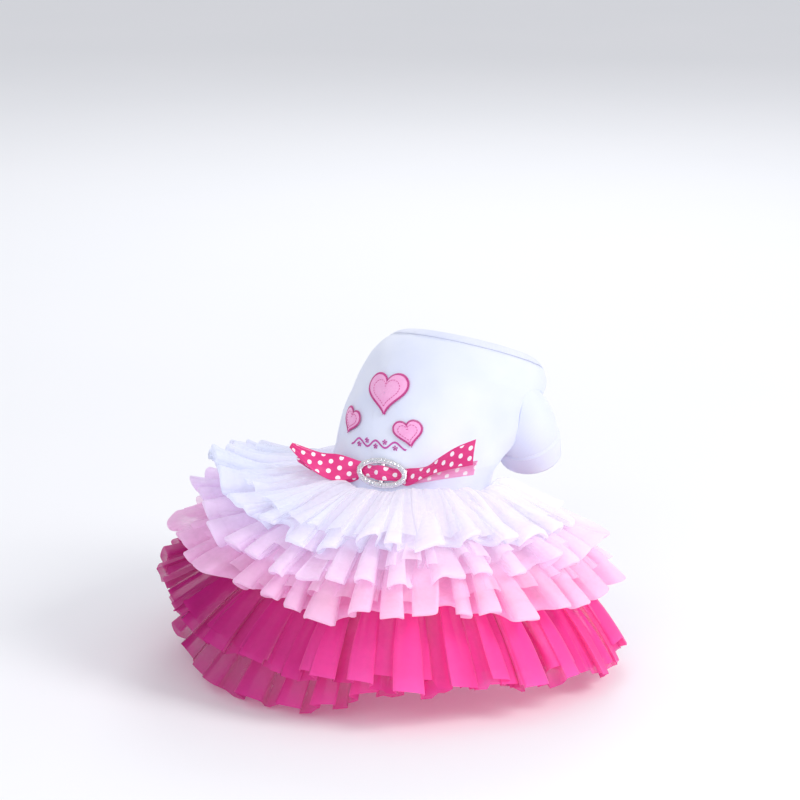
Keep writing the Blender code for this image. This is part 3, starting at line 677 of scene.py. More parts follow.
def gathered(tier, seed, folds, path, main, fine, balloon, ragged, petal=0.0, crisp=0.0,
             loft=0.0, reach_to=1.0, puff=0.0):
    """A grid of tulle. path gives each row's share of the way down and its distance off the
    sheet. main and fine are the depths of the wide and narrow folds, and balloon says how far
    the narrow folds lean over their own necks. ragged is how much their ends differ in length,
    petal how much shorter a neck ends than a crown, and loft how far folds stand off the sheet.
    crisp turns round folds into flat panels with sharp edges, reach_to ends them early, and
    puff is how high the cloth stands up just past its seam."""
    rng = np.random.default_rng(seed)
    widths = rng.uniform(0.55, 1.45, folds)
    knots = np.concatenate([[0], np.cumsum(widths)]) / widths.sum()
    phase = np.linspace(0, folds, folds * FOLD_SAMPLES + 1)
    angle = (np.interp(phase, np.arange(folds + 1), knots) - 0.5) * SKIRT_SPAN
    share, off = (np.asarray(p, float)[:, None] for p in path)
    share, angle = np.broadcast_arrays(share * reach_to, angle[None])
    centre, around, down, face = tier_axes(tier, angle, share)

    def per_fold(low, high):
        """A random value for each fold; round folds pass smoothly to the next, panels step."""
        values = rng.uniform(low, high, folds + 2)
        smooth = np.interp(phase, np.arange(folds + 2) - 0.5, values)
        stepped = values[np.minimum(np.floor(phase + 0.25).astype(int), folds)]
        return (smooth * (1 - crisp) + stepped * crisp)[None]

    grown = np.clip(share, 0, 1)
    shift = per_fold(-0.45, 0.45) * np.sin(2.0 * share + per_fold(0, 6.0)) * (1 - 0.8 * crisp)
    p = TURN * (phase[None] + shift)
    height = per_fold(0.55, 1.35)
    turns = angle / SKIRT_SPAN * FOLD_COUNT
    wide = np.sin(TURN * turns) * (1 + 0.2 * np.sin(1.7 * turns))
    round_fold = np.sin(p) + 0.10 * np.sin(2.7 * p + 1)
    flat_fold = np.tanh(3.5 * np.sin(p))
    narrow = round_fold * (1 - crisp) + flat_fold * crisp
    gathers = np.sin(3.1 * p + per_fold(0, 6.0)) * (1 - grown) ** 1.2
    swing = main * wide + fine * (height * narrow + 0.5 * gathers)
    depth = tier["depth"] * FOLD_DEPTH * grown ** 1.25
    fold_width = np.linalg.norm(centre[..., :2], axis=-1) * SKIRT_SPAN / folds
    lean = -balloon * fold_width / (2 * TURN) * np.sin(2 * p) * np.clip(share * 1.3, 0, 1) ** 1.2
    slope = per_fold(-1, 1) * (phase[None] - np.floor(phase[None] + 0.25) - 0.25)
    neck = (0.5 - 0.5 * np.sin(p)) ** 1.6
    length = ragged * (per_fold(-1, 1) + crisp * 1.2 * slope) - petal * neck
    length = length + 0.25 * depth * np.sin(2.3 * turns) * grown ** 2
    rise = loft * per_fold(-0.4, 1) * grown ** 2
    stand = puff * per_fold(0.5, 1.3) * np.sin(np.pi * grown ** 0.45) ** 2
    points = (centre + face * (depth * swing + off + rise)[..., None] + around * lean[..., None]
              + down * (length * grown ** 3)[..., None] + vec(0, 0, 1) * stand[..., None])
    fields = {"share": np.broadcast_to(share, swing.shape), "ridge": swing / (main + fine)}
    return points, fields


print("tier form ready")

# %% [markdown]
# Tulle is a fine net, so light goes through it, bounces between its layers and comes out soft;
# a faint painted glow in the tulle's own colour stands in for that bounced light.
# The finish is partly see-through: less so on crowns and at the hem, where the cloth is seen
# edge on, and more so half way down. Its colour comes from how far down the tier a place is and
# from whether it lies on a crown or in a neck, where a darker neck colour is painted shade; a
# darker far colour paints shade towards the dress's left end as well. A share of translucent
# light keeps the necks from going grey, and a small net pattern from the cloth's UV breaks up the
# surface.


# %% Tulle finishes
NET_MESH = 1.3 * MM
SHADE_SIDE_RATE = 7.0


def tulle(name, stops, neck, far, cover, hem_cover, glow, glow_share):
    """A net whose colours run from seam to hem along stops, shift to the neck colour in folds and
    to the far colour towards the dress's left end; both of these are painted shade. cover is how
    much of the light it stops, hem_cover how much more at its rim, and glow the colour of the
    light that comes through."""
    finish = Finish(name, Roughness=0.75, Specular_IOR_Level=0.2, Sheen_Weight=0.25,
                    Emission_Strength=0.14)
    share, ridge = finish.attribute("share"), finish.attribute("ridge")
    u, v, _ = finish.split(finish.coordinate("UV"))
    cloud = finish.noise(38.0, 3.0)
    shade = finish.ramp(share, *stops)
    # Painted shade: the necks of the folds shift towards the darker neck colour, and the crowns
    # keep the ramp's colour.
    low = 0.35 - ridge * 0.55
    colour = finish.mix(low + (cloud - 0.5) * 0.3, shade, neck)
    # Painted shade: the far colour darkens the tulle towards the dress's left end.
    x, y, _ = finish.split(finish.coordinate())
    colour = finish.mix((x * 0.82 + y * 0.57) * -SHADE_SIDE_RATE, colour, far)
    finish.set("Base Color", colour)
    # Painted light: the tulle glows faintly (emission strength 0.14) in its own colour, standing
    # in for light bounced between its layers.
    finish.set("Emission Color", colour)
    net = ((u * (TURN / NET_MESH)).sine() * (v * (TURN / NET_MESH)).sine()).absolute()
    threads = finish.noise(260.0, 2.0, finish.coordinate("UV"))
    rim = ((share - 0.90) * 10 * hem_cover).most(0.0)
    cover = (ridge * 0.12 + (threads - 0.5) * 0.12 + cover + rim - net * 0.05).least(0.97)
    finish.set("Alpha", cover)
    finish.bump(threads + net * 0.6, 0.15 * MM, 0.15)
    lit = finish.tree.nodes.new("ShaderNodeBsdfTranslucent")
    finish.fill(lit.inputs["Color"], glow)
    blend = finish.tree.nodes.new("ShaderNodeMixShader")
    finish.fill(blend.inputs[0], cover * glow_share)
    finish.tree.links.new(finish.shader.outputs[0], blend.inputs[1])
    finish.tree.links.new(lit.outputs[0], blend.inputs[2])
    finish.tree.links.new(blend.outputs[0], finish.output.inputs[0])
    return finish


# The last colour on the next line is the hot pink in painted shade. Each tulle's neck and far
# colours below are painted shade too: in its folds, and on the dress's left side.
WHITE, LAVENDER, BLUSH = (0.97, 0.97, 1.0), (0.93, 0.88, 1.0), (1.0, 0.80, 0.93)
ROSE, HOT, HOT_IN_SHADE = (0.98, 0.40, 0.70), (1.0, 0.05, 0.40), (0.66, 0.01, 0.24)
tulle_white = tulle(
    "tulle_white", stops=((0.0, WHITE), (0.6, WHITE), (1.0, LAVENDER)), neck=(0.86, 0.89, 1.0),
    far=(0.74, 0.80, 0.93), cover=0.52, hem_cover=0.34, glow=(0.98, 0.97, 1.0), glow_share=0.45)
tulle_pale = tulle(
    "tulle_pale", stops=((0.0, WHITE), (0.5, LAVENDER), (1.0, BLUSH)), neck=(0.93, 0.76, 0.96),
    far=(0.80, 0.68, 0.88), cover=0.46, hem_cover=0.36, glow=(1.0, 0.90, 0.99), glow_share=0.45)
tulle_blush = tulle(
    "tulle_blush", stops=((0.0, LAVENDER), (0.5, BLUSH), (1.0, (1.0, 0.72, 0.90))),
    neck=(0.97, 0.50, 0.80), far=(0.84, 0.55, 0.78), cover=0.42, hem_cover=0.38,
    glow=(1.0, 0.80, 0.95), glow_share=0.45)
tulle_hot = tulle(
    "tulle_hot", stops=((0.0, ROSE), (0.45, HOT), (1.0, (1.0, 0.12, 0.50))), neck=HOT_IN_SHADE,
    far=(0.36, 0.003, 0.17), cover=0.60, hem_cover=0.22, glow=(1.0, 0.10, 0.45), glow_share=0.32)
print("tulle finishes ready")

# %% [markdown]
# A soft tier's rows run down the outer layer, round the fold at the hem and part of the way
# back up the inner layer. The inner layer keeps a few millimetres off the outer one, as a
# folded net does, because its own stiffness holds it open.

# %% White and blush tiers
LOOP = 1.8 * MM


def folded_path(outer_rows, turn_rows, inner_rows, back_to, gap):
    """Shares and offsets of rows down the outer layer, round the hem's loop and back up."""
    down = np.linspace(0.0, 1.0, outer_rows) ** 0.85
    turn = np.linspace(0, np.pi, turn_rows + 2)[1:-1]
    up = np.linspace(1.0, back_to, inner_rows)
    share = np.concatenate([down, 1 + 0.012 * np.sin(turn), up])
    off = np.concatenate([down * 0, -LOOP * (1 - np.cos(turn)), -2 * LOOP - gap * (1 - up) * 3])
    return share, off


def make_tier(node, piece, finish, path, seed, folds, form):
    """One piece of a tier's tulle, taken to be a flared strip, which is an assumption. A straight
    strip would have about twice the cloth."""
    slot = "tulle_" + node.split("_")[1]
    points, fields = gathered(TIERS[node], seed, folds, path, **form)
    faces = grid_faces(*points.shape[:2])[:, ::-1]
    cloth = make_mesh(piece, points, faces, finish, cloth_lengths(points), fields)
    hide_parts(node)


soft_path = folded_path(24, 5, 7, 0.6, 1.0 * MM)
plain_path = (np.linspace(0, 1, 20) ** 0.9, np.zeros(20))
petals = dict(main=0.35, fine=1.05, balloon=1.8, ragged=6.5 * MM, petal=11 * MM, loft=7 * MM)
veil = dict(main=0.35, fine=0.75, balloon=1.5, ragged=8.0 * MM, petal=7 * MM, loft=10 * MM,
            reach_to=0.86)
for node, piece, finish, path, seed, folds, form in (
        ("ruffle_white_top", "tulle_white_top", tulle_white, soft_path, 11, 21,
         dict(petals, puff=5 * MM)),
        ("ruffle_white_top", "tulle_white_veil", tulle_white, plain_path, 12, 24,
         dict(veil, puff=9 * MM)),
        ("ruffle_white_middle", "tulle_white_middle", tulle_pale, soft_path, 23, 24, petals),
        ("ruffle_white_middle", "tulle_pale_veil", tulle_pale, plain_path, 24, 27, veil),
        ("ruffle_blush_lower", "tulle_blush_lower", tulle_blush, soft_path, 37, 25, petals),
        ("ruffle_blush_lower", "tulle_blush_veil", tulle_blush, plain_path, 38, 28, veil)):
    make_tier(node, piece, finish, path, seed, folds, form)

# %% [markdown]
# The hot pink tiers are cut straight and pressed, so their folds are flat panels with sharp
# edges that overlap like a fan. Where two panels lie over each other the pink is deeper.

# %% Hot pink tiers
panels = dict(main=0.45, fine=0.50, balloon=2.1, ragged=3.5 * MM, crisp=1.0, loft=2 * MM)
inner = dict(main=0.45, fine=0.40, balloon=1.8, ragged=5.0 * MM, crisp=1.0, reach_to=0.96)
for node, piece, seed, folds, form in (("skirt_pink_outer", "tulle_pink_outer", 41, 24, panels),
                                       ("skirt_pink_outer", "tulle_pink_lining", 43, 20, inner),
                                       ("skirt_pink_under", "tulle_pink_under", 53, 20, panels)):
    make_tier(node, piece, tulle_hot, plain_path, seed, folds, form)

# %% [markdown]
# The bow is one satin ribbon with woven dots, drawn through an oval buckle at the small of the
# back, and a second pair of tails that come out from under it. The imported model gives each
# tail a few stations: how far sideways, how high, how far off the cloth, how wide and how
# rolled the ribbon is there. A spline runs through them. Where the buckle pinches the ribbon,
# it gathers into ridges that run out along it and fade as it widens.

# %% Bow ribbon
RIBBON_WIDTH, BOW_HALF, BOW_STAND, BOW_ABOVE_WAIST = 22 * MM, 64 * MM, 12 * MM, 3 * MM
BOW_TURN = math.radians(7)
RIBBON_STEPS, RIBBON_COLUMNS, DOT_CELL, DOT_SIZE = 12, 33, 6.8 * MM, 3.2 * MM
BUCKLE_WIDTH, BUCKLE_HEIGHT, BUCKLE_RIM, BUCKLE_LIFT = 37 * MM, 20 * MM, 3.8 * MM, 0.6 * MM
BAR_THICK, BAR_INSET = 0.8 * MM, 0.1 * MM
TAILS = {
    "left": ((-1.00, 1.02, 0.86, 0.24, 60), (-0.86, 0.92, 0.50, 0.50, 46),
             (-0.68, 0.74, 0.10, 0.70, 30), (-0.50, 0.38, -0.06, 0.82, 12)),
    "right": ((0.50, 0.30, 0.42, 0.34, -4), (0.66, 0.58, 0.92, 0.46, -8),
              (0.84, 0.74, 1.44, 0.64, -6), (1.04, 0.72, 1.90, 0.78, -2)),
    "under left": ((-0.28, 0.00, -0.08, 0.52, 0), (-0.40, 0.02, -0.34, 0.54, -8),
                   (-0.60, 0.18, -0.42, 0.46, -24), (-0.80, 0.36, -0.26, 0.38, -40),
                   (-0.96, 0.46, 0.00, 0.26, -52)),
    "under right": ((0.28, 0.00, 0.00, 0.52, 0), (0.40, 0.00, 0.16, 0.48, 8),
                    (0.60, 0.16, 0.44, 0.46, 18), (0.82, 0.30, 0.76, 0.46, 24),
                    (1.04, 0.34, 1.08, 0.48, 26)),
}
levels = np.linspace(WAIST_ROW, NECK_ROW, 4000)
bow_row = levels[(spline(BODY["rise"], levels) * BODY_RISE < BOW_ABOVE_WAIST).sum()]
bow_point, bow_right, bow_up, bow_out = body_frame(np.float64(bow_row), np.float64(BOW_TURN))
under = BUCKLE_LIFT - SEAM_GAP - RIBBON / 2


def stations(name, low):
    """A tail's stations as lengths: across, up, off the cloth, half width and roll. The table
    holds how far each stands off the cloth before how high it is."""
    table = np.array(TAILS[name])[:, [0, 2, 1, 3, 4]]
    units = [BOW_HALF, BOW_STAND, BOW_STAND, RIBBON_WIDTH / 2, math.radians(1)]
    return table * units + [0, 0, low, 0, 0]


def on_bow(points):
    """Points given rightward, upward and off the cloth, moved to the bow's place on the back."""
    return (bow_point + points[..., :1] * bow_right + points[..., 1:2] * bow_up
            + points[..., 2:] * bow_out)


def ribbon_grid(places, ridges):
    """A strip through stations: each row runs across it, turned by the roll about its run. Ridges
    are waves across the strip, deep where it is narrow and gone where it has its full width."""
    places = np.asarray(places)
    at = np.linspace(0, len(places) - 1, (len(places) - 1) * RIBBON_STEPS + 1)
    x, y, z, half, roll = (spline(places[:, c], at)[:, None] for c in range(5))
    k = np.linspace(-1, 1, RIBBON_COLUMNS)[None]
    across = bow_up * np.cos(roll)[..., None] - bow_out * np.sin(roll)[..., None]
    face = bow_out * np.cos(roll)[..., None] + bow_up * np.sin(roll)[..., None]
    narrow = np.clip(1.15 - half / (RIBBON_WIDTH / 2), 0, 1) ** 2
    wave = ridges * narrow * np.cos(3.5 * np.pi * k + 0.6 * np.sin(3 * at)[:, None])
    wave = wave + 0.25 * MM * np.sin(0.9 * at[:, None] * 2 + 2 * k) - 0.5 * MM * k ** 2
    middle = on_bow(np.stack([x, y, z], -1))
    return middle + across * (half * k)[..., None] + face * wave[..., None]


def satin(name, ground, back, dot):
    """Satin with dots: a lattice of cells in the cloth's UV, every other row shifted by half.
    A dot is left out where it would be cut by the woven edge."""
    finish = Finish(name, Roughness=0.38, Specular_IOR_Level=0.5, Sheen_Weight=0.2)
    u, v, _ = finish.split(finish.coordinate("UV"))
    odd = ((u / DOT_CELL).floor() * 0.5).fraction()
    x = (u / DOT_CELL).fraction() - 0.5
    y = (v / DOT_CELL + odd).fraction() - 0.5
    spot = (x * x + y * y).less_than((DOT_SIZE / DOT_CELL / 2) ** 2)
    spot = spot * finish.attribute("edge").less_than(0.88)
    cloud = finish.noise(60.0, 2.0)
    cloth = finish.mix(cloud * 1.4 - 0.3, back, ground)
    finish.set("Base Color", finish.mix(spot, cloth, dot))
    ribs = (u * (TURN / (0.55 * MM))).sine()
    finish.bump(ribs * 0.5 + spot * 0.8, 0.08 * MM, 0.5)
    finish.set("Roughness", 0.42 - cloud * 0.12)
    return finish


satin_deep = satin("satin_deep", (0.90, 0.05, 0.30), (0.72, 0.01, 0.18), (1.0, 0.88, 0.95))
satin_pale = satin("satin_pale", (0.97, 0.50, 0.78), (0.93, 0.30, 0.62), (1.0, 0.93, 0.98))
clear = BUCKLE_HEIGHT / 2 - BUCKLE_RIM - 3 * SEAM_GAP
outer, inner = BUCKLE_WIDTH / 2 + 2 * SEAM_GAP, BUCKLE_WIDTH / 2 - BUCKLE_RIM
rise = BUCKLE_LIFT + BAR_INSET + BAR_THICK + SEAM_GAP + RIBBON / 2 - under
through = np.array(((-outer, 0, under, clear * 1.1, 0), (-inner * 0.82, 0, under, clear * 0.84, 0),
                    (-inner * 0.50, 0, under + rise * 0.35, clear * 0.78, 0),
                    (-inner * 0.20, 0, under + rise, clear * 0.92, 0)))
through = np.concatenate([through, through[::-1] * [-1, 1, 1, 1, 1]])


def ribbon_piece(name, node, places, finish, ridges):
    """One length of ribbon. Its UV is in metres along its run and across its visible width, and
    the field edge runs from 0 on its middle line to 1 at its woven edges, which have no dots.
    This surface's area is about half of the plain strip's, because the narrowed ribbon lacks
    the deep folds that would hold the rest of the cloth."""
    grid = ribbon_grid(places, ridges)
    run = line_run(grid[:, RIBBON_COLUMNS // 2])
    k = np.linspace(-1, 1, RIBBON_COLUMNS)[None]
    half = np.linalg.norm(grid[:, -1] - grid[:, 0], axis=1)[:, None] / 2
    uv = np.stack([run[:, None] + 0 * k, k * half], -1)
    piece = make_mesh(name, grid, grid_faces(*grid.shape[:2])[:, ::-1], finish, uv,
                      {"edge": np.abs(k) + 0 * half})
    thicken(piece, 0.35 * MM, 0.0)
    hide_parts(node)


main_places = np.concatenate([stations("left", under), through, stations("right", under)])
ribbon_piece("ribbon_main", "bow_ribbon", main_places, satin_deep, 0.45 * MM)
for word, finish in (("left", satin_deep), ("right", satin_pale)):
    table = TAILS["under " + word]
    start = abs(table[0][0]) * BOW_HALF
    _, _, half_w, _, _ = body_ring(np.float64(bow_row))
    sag = float((bow_point - body_point(bow_row, BOW_TURN + start / half_w)) @ bow_out)
    low = (under - RIBBON / 2 - sag) / 2
    ribbon_piece("ribbon_tail_" + word, "bow_tail_" + word, stations("under " + word, low),
                 finish, 0.4 * MM)

# %% [markdown]
# The buckle is an oval slide of bright plated metal set with a row of cut stones. A stone is
# one small mesh: eight-sided at the girdle, with a ring of crown facets up to a flat table and
# a pavilion that runs down to a point in the setting. All the stones are copies of it, turned
# to follow the oval. Between them stand small claws, as beads of metal.

# %% Buckle and stones
STONE_COUNT, STONE_SIZE, BUCKLE_BASE, BAR_HALF = 28, 2.5 * MM, 1.5 * MM, 1.5 * MM
RIM_PLACES, RIM_SIDES, CLAW_RADIUS, CLAW_ASIDE = 112, 16, 0.42 * MM, 1.25 * MM
metal = Finish("plated_metal", Metallic=1.0, Roughness=0.18)
tarnish = metal.noise(300.0, 3.0)
metal.set("Base Color", metal.mix(tarnish, (0.80, 0.80, 0.83), (0.93, 0.93, 0.95)))
metal.set("Roughness", 0.14 + tarnish * 0.18)
stone = Finish("cut_stone", Metallic=0.75, Coat_Weight=1.0, Coat_Roughness=0.02)
sparkle = stone.noise(420.0, 1.0)
stone.set("Base Color", stone.mix(sparkle * 2.0 - 0.5, (0.62, 0.66, 0.74), (1.0, 0.99, 1.0)))
stone.set("Roughness", 0.05 + sparkle * 0.12)


def oval_line(half_w, half_h, count):
    """Places that share an oval's edge into equal lengths, with the direction square to it."""
    fine = TURN * np.arange(2001) / 2000
    edge = np.stack([half_w * np.cos(fine), half_h * np.sin(fine)], -1)
    run = line_run(edge)
    a = np.interp(run[-1] * np.arange(count) / count, run, fine)
    place = np.stack([half_w * np.cos(a), half_h * np.sin(a)], -1)
    out = unit(np.stack([half_h * np.cos(a), half_w * np.sin(a)], -1))
    return place, out


def seated(points):
    """Points given on the buckle's own plane, moved to its seat on the back."""
    return on_bow(points + [0, 0, BUCKLE_LIFT])


half_w, half_h = (BUCKLE_WIDTH - BUCKLE_RIM) / 2, (BUCKLE_HEIGHT - BUCKLE_RIM) / 2
place, out = oval_line(half_w, half_h, RIM_PLACES)
a = circle(RIM_SIDES)
across, high = (np.sign(wave) * np.abs(wave) ** 0.6 for wave in (np.cos(a), np.sin(a)))
width, height = BUCKLE_RIM / 2 * across, BUCKLE_BASE / 2 * (1 + high)
ring = np.concatenate([place[:, None] + out[:, None] * width[None, :, None],
                       np.broadcast_to(height[None, :, None], (RIM_PLACES, RIM_SIDES, 1))], -1)
ring = np.concatenate([ring, ring[:1]])
rim = make_mesh("buckle_rim", seated(ring), grid_faces(RIM_PLACES + 1, RIM_SIDES, True), metal,
                cloth_lengths(ring))
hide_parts("buckle")


def stone_template():
    """Points and triangles of one stone, one unit across: a table, crown, girdle and pavilion."""
    rings = ((0.27, 0.30, 0), (0.40, 0.17, TURN / 16), (0.5, 0.04, 0), (0.5, -0.02, 0))
    points = np.concatenate(
        [[[0, 0, 0.30]]] + [vec(radius * np.cos(circle(8) + turn),
                                radius * np.sin(circle(8) + turn), height)
                            for radius, height, turn in rings] + [[[0, 0, -0.38]]])
    i = np.arange(8)
    j = (i + 1) % 8
    table, crown, girdle, lower, tip = 1, 9, 17, 25, 33
    faces = [np.stack(face, -1) for face in (
        (0 * i, table + i, table + j), (table + i, crown + i, table + j),
        (table + j, crown + i, crown + j), (crown + i, girdle + i, girdle + j),
        (crown + i, girdle + j, crown + j), (girdle + i, lower + i, lower + j),
        (girdle + i, lower + j, girdle + j), (lower + i, tip + 0 * i, lower + j))]
    return points, np.concatenate(faces)


def copies(template, faces, place, along, across, normal, size):
    """One array of many copies of a small mesh, each with its own place, axes and size."""
    size = np.broadcast_to(size, (len(place), 3))
    axes = np.stack([along * size[:, :1], across * size[:, 1:2], normal * size[:, 2:]], 1)
    points = place[:, None] + np.einsum("tk,nki->nti", template, axes)
    first = len(template) * np.arange(len(place))[:, None, None]
    return points, (faces[None] + first).reshape(-1, faces.shape[1])


def flat(line, height):
    """Points of a flat line at one height."""
    return np.concatenate([line, np.full((len(line), 1), height)], -1)


place, out = oval_line(half_w, half_h, STONE_COUNT)
along = flat(np.stack([-out[:, 1], out[:, 0]], -1), 0.0)
turned_in = 0.10 * np.sin(np.arange(STONE_COUNT) * 2.4)[:, None]
tilted = unit(flat(out, 0.0) * turned_in + along * turned_in[::-1] + [0, 0, 1])
points, faces = copies(*stone_template(), flat(place, BUCKLE_BASE + 0.35 * MM), along,
                       np.cross(tilted, along), tilted, STONE_SIZE)
stones = make_mesh("buckle_stones", seated(points), faces, stone)
stones.data.shade_flat()


def bead_template(rings=5, sides=8):
    """A small ball: rings of points between two poles."""
    b = np.pi * np.arange(1, rings + 1) / (rings + 1)
    a, girth = circle(sides), np.sin(b)[:, None]
    body = vec(girth * np.cos(a), girth * np.sin(a), np.cos(b)[:, None])
    points = np.concatenate([body.reshape(-1, 3), [[0, 0, 1], [0, 0, -1]]])
    i = np.arange(sides)
    j = (i + 1) % sides
    last = (rings - 1) * sides
    quads = [np.stack([r * sides + i, (r + 1) * sides + i, (r + 1) * sides + j, r * sides + j], -1)
             for r in range(rings - 1)]
    quads.append(np.stack([0 * i + rings * sides, i, j, j], -1))
    quads.append(np.stack([0 * i + rings * sides + 1, last + j, last + i, last + i], -1))
    quads = np.concatenate(quads)
    return points, np.concatenate([quads[:, :3], quads[quads[:, 2] != quads[:, 3]][:, [0, 2, 3]]])


claw_line, claw_out = oval_line(half_w, half_h, STONE_COUNT * 2)
claw_line, claw_out = claw_line[1::2], claw_out[1::2]
claws = np.concatenate([claw_line + claw_out * (way * CLAW_ASIDE) for way in (-1, 1)])
count = len(claws)
points, faces = copies(*bead_template(), flat(claws, BUCKLE_BASE + 0.1 * MM),
                       *(np.tile(axis, (count, 1)) for axis in np.eye(3)), CLAW_RADIUS)
make_mesh("buckle_claws", seated(points), faces, metal)
bar_ends = np.linspace(-half_h, half_h, 12)
bar_line = np.stack([0 * bar_ends, bar_ends, 0 * bar_ends + BAR_INSET + BAR_THICK / 2], -1)
a = circle(12)
bar = bar_line[:, None] + vec(BAR_HALF * np.cos(a), 0, BAR_THICK / 2 * np.sin(a))[None]
make_mesh("buckle_crossbar", seated(bar), grid_faces(12, 12, True), metal)
print("buckle:", STONE_COUNT, "stones,", count, "claws")

# %% [markdown]
# Everything embroidered here is thread, so it is built as thread. One small mesh stands for a
# stitch: a bundle that swells in the middle and tapers where it dives into the cloth. Copies
# of it are laid along lines on the bodice, square to the line for satin stitch and along it for
# running stitch. A line is given in metres right and up from a place on the body.


# %% Stitches on the bodice
def lay(row, turn, lean, flat_points, lift):
    """Places on the bodice for flat points: metres right and up of a row and an angle, turned
    by lean. Each metre is divided by the length of one row, or of one radian, at that place."""
    step = 0.05
    row_run, angle_run = (np.linalg.norm(body_point(*more) - body_point(*less)) / (2 * step)
                          for more, less in (((row + step, 0.0), (row - step, 0.0)),
                                             ((row, step), (row, -step))))
    lean = math.radians(lean)
    x, y = flat_points[..., 0], flat_points[..., 1]
    u, v = x * math.cos(lean) - y * math.sin(lean), x * math.sin(lean) + y * math.cos(lean)
    rows, turns = row + v / row_run, math.radians(turn) + u / angle_run
    point, right, up, out = body_frame(rows, turns)
    near = np.maximum(wrinkles(rows, turns) - crease_depth(rows, turns), -4 * MM)
    return point + out * (near + lift)[..., None], right, up, out


def stitch_template(sides=6):
    """Points and faces of one stitch, one unit long and two wide: rings that swell and taper."""
    along = np.array((-0.5, -0.42, -0.2, 0.2, 0.42, 0.5))
    girth = np.array((0.25, 0.75, 1.0, 1.0, 0.75, 0.25))
    a = circle(sides)
    points = vec(along[:, None], girth[:, None] * np.cos(a), girth[:, None] * np.sin(a))
    return points.reshape(-1, 3), grid_faces(len(along), sides, True)[:, ::-1]


def stitches(name, finish, seat, centres, ways, length, radius, lift):
    """A row of stitches: flat centres and directions on the cloth at a seat, which is a row, a
    turn and a lean, each stitch laid along the cloth's curve."""
    place, _, _, out = lay(*seat, centres, lift)
    ahead = lay(*seat, centres + unit(ways) * 0.5 * MM, lift)[0]
    along = unit(ahead - place)
    across = unit(np.cross(out, along))
    size = (length, radius, radius)
    points, faces = copies(*stitch_template(), place, along, across, out, size)
    return make_mesh(name, points, faces, finish)


def thread(name, colour, deep):
    """Shiny yarn: a slanted wave for its twist, and a fine noise between its two colours."""
    finish = Finish(name, Roughness=0.42, Specular_IOR_Level=0.5, Sheen_Weight=0.3)
    x, _, z = finish.split(finish.coordinate())
    twist = ((x + z * 0.7) * (TURN / (0.35 * MM))).sine()
    finish.set("Base Color", finish.mix(finish.noise(500.0) * 1.2 - 0.1, deep, colour))
    finish.bump(twist, 0.05 * MM, 0.6)
    return finish


thread_rose = thread("thread_rose", (0.78, 0.05, 0.36), (0.50, 0.01, 0.20))
thread_plum = thread("thread_plum", (0.72, 0.10, 0.50), (0.45, 0.03, 0.30))
thread_white = thread("thread_white", (0.90, 0.92, 1.0), (0.72, 0.76, 0.92))
print("stitches ready")

# %% [markdown]
# Three plain hearts of felt are sewn to the back. A heart swells towards its middle as padded
# felt does, drops at its edge and is held down by a close satin border in darker thread, with
# one line of running stitch inside it.

# %% Felt hearts
FELT, PATCH_GAP, HEART_COLUMNS = 1.1 * MM, 0.45 * MM, 96
HEARTS = {  # width, then row, turn and lean on the body
    "heart_large": (33 * MM, (3.05, 7, 6)),
    "heart_small_left": (20 * MM, (2.35, -21, -14)),
    "heart_small_right": (20 * MM, (2.30, 26, 14)),
}
BORDER_RATE, RUNNING_RATE = 5.2, 1.0  # stitches for each millimetre of a heart's width
felt = Finish("felt", Roughness=0.95, Sheen_Weight=0.6, Sheen_Roughness=0.5)
fluff = felt.noise(900.0, 4.0)
patches = felt.noise(140.0, 2.0)
shade = fluff * 0.8 + patches * 0.6 - 0.2
felt.set("Base Color", felt.mix(shade, (0.86, 0.30, 0.62), (0.97, 0.52, 0.80)))
felt.bump(fluff + patches * 0.5, 0.25 * MM, 0.8)


def heart_line(count):
    """A heart one unit wide, as points that share its edge into equal lengths. Its sideways
    place is the cube of a sine, and its height a sum of four cosines."""
    t = TURN * np.arange(1201) / 1200
    height = 13 * np.cos(t) - 5 * np.cos(2 * t) - 2 * np.cos(3 * t) - np.cos(4 * t) + 2.5
    line = np.stack([16 * np.sin(t) ** 3, height], -1) / 32
    run = line_run(line)
    at = run[-1] * np.arange(count) / count
    return np.stack([np.interp(at, run, line[:, c]) for c in (0, 1)], -1)


edge = heart_line(HEART_COLUMNS)
shares = np.concatenate([np.linspace(0.02, 0.90, 12), [0.95, 0.985, 1.0, 1.0]])
lifts = np.concatenate([1.25 - 0.25 * np.linspace(0, 1, 12) ** 2, [0.92, 0.75, 0.45, 0.0]])
for name, (size, seat) in HEARTS.items():
    flat_heart = edge[None] * shares[:, None, None] * size
    lift = PATCH_GAP + FELT * lifts[:, None] + np.zeros((1, HEART_COLUMNS))
    points = lay(*seat, flat_heart, lift)[0]
    piece = make_mesh(name + "_felt", points, grid_faces(len(shares), HEART_COLUMNS, True), felt,
                      flat_heart)
    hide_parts(name)
    border = heart_line(int(size / MM * BORDER_RATE)) * size
    ahead = round_ahead(border)
    square = np.stack([ahead[:, 1], -ahead[:, 0]], -1)
    stitches(name + "_border", thread_rose, seat, border * 0.985, square, 2.3 * MM, 0.30 * MM,
             PATCH_GAP + 0.75 * FELT)
    running = heart_line(int(size / MM * RUNNING_RATE)) * size * 0.66
    stitches(name + "_running", thread_rose, seat, running, round_ahead(running), 1.5 * MM,
             0.22 * MM, PATCH_GAP + 1.22 * FELT)
print("hearts ready")

# %% [markdown]
# Below the large heart runs a plain stitched border: a wavy stem in satin stitch with a small
# flower of five knots in each of its hollows, above and below by turns.

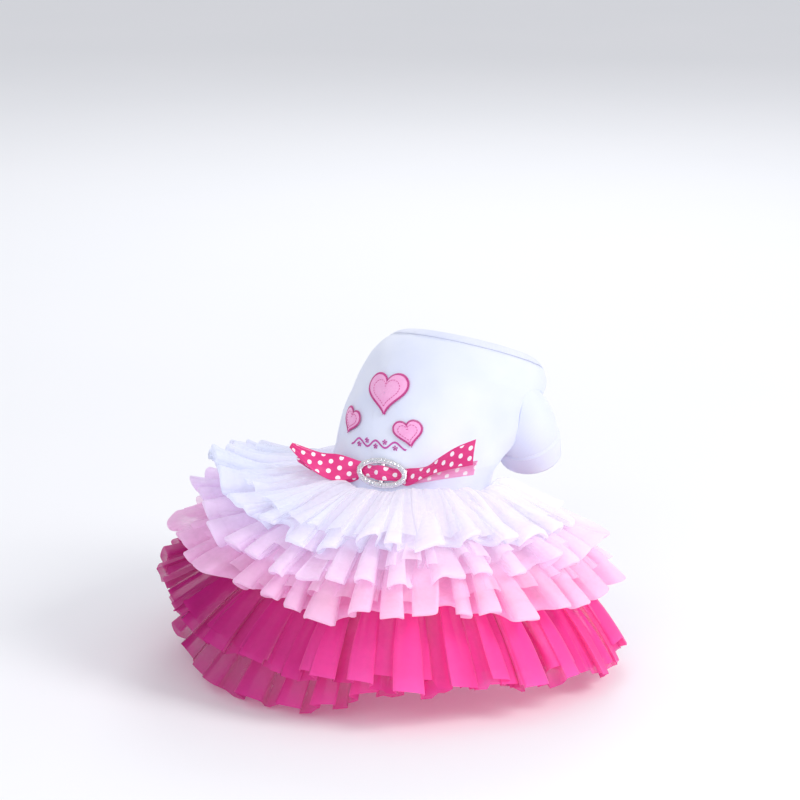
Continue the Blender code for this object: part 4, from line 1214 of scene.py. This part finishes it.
# %% Flourish
FLOURISH_SEAT = (1.98, 3, 3)
WAVE, CREST, FLOWER, KNOT = 2.3 * MM, 7.5 * MM, 1.35 * MM, 0.62 * MM
x = np.linspace(-3, 3, 260) * CREST
stem = np.stack([x, WAVE * np.cos(x / CREST * np.pi)], -1)
ahead = np.gradient(stem, axis=0)
slant = np.stack([ahead[:, 0] * 0.8 - ahead[:, 1], ahead[:, 1] * 0.8 + ahead[:, 0]], -1)
stitches("flourish_stem", thread_plum, FLOURISH_SEAT, stem, slant, 1.5 * MM, 0.22 * MM,
         0.22 * MM)
petal = circle(5) + TURN / 4
flower = np.concatenate([[[0, 0]], np.stack([np.cos(petal), np.sin(petal)], -1)]) * FLOWER
crests = np.arange(-2, 3)
hollows = np.stack([crests * CREST, -0.75 * WAVE * np.cos(crests * np.pi)], -1)
knots = (hollows[:, None] + flower).reshape(-1, 2)
place, right, up, out = lay(*FLOURISH_SEAT, knots, 0.3 * MM)
points, faces = copies(*bead_template(), place, right, up, out, KNOT)
make_mesh("flourish_knots", points, faces, thread_plum)
print("flourish ready")

# %% [markdown]
# The seams. A pair of lines of small stitches runs under the neck band and round each sleeve's
# hem, as a cover-stitch machine leaves them, and a thin roll of cloth follows each armhole.


# %% Seam lines
def line_stitches(name, line, out, lift):
    """Stitches spaced evenly along a closed line of points, lying along it, a little way out."""
    line, out = (np.concatenate([v, v[:1]]) for v in (line + out * lift, out))
    run = line_run(line)
    at = np.arange(0, run[-1] - SEAM_PITCH / 2, SEAM_PITCH) + SEAM_PITCH / 2
    place, ahead, normal = (
        np.stack([np.interp(at + further, run, values[:, c]) for c in range(3)], -1)
        for values, further in ((line, 0), (line, SEAM_PITCH * 0.2), (out, 0)))
    along, normal = unit(ahead - place), unit(normal)
    across = unit(np.cross(normal, along))
    points, faces = copies(*stitch_template(), place, along, across, normal, SEAM_STITCH)
    return make_mesh(name, points, faces, thread_white)


SEAM_PITCH, SEAM_STITCH = 2.2 * MM, (1.6 * MM, 0.16 * MM, 0.16 * MM)
for k, below in enumerate((0.08, 0.14)):
    line, _, _, out = body_frame(np.full(400, COLLAR_ROW - below), circle(400))
    line_stitches("neck_seam_" + str(k), line, out, 0.12 * MM)
for word, side in SIDES.items():
    for k, at in enumerate((HEM_LINE, HEM_LINE + 0.025)):
        ring = sleeves[word][round(at * (SLEEVE_ROWS - 1))]
        out = unit(ring - ring.mean(axis=0))
        line_stitches("sleeve_seam_" + word + "_" + str(k), ring, out, 0.10 * MM)
for word, side in SIDES.items():
    seam_cord("armhole_" + word, seam_loop(side, 0.0), 0.55 * MM)
print("seams ready")
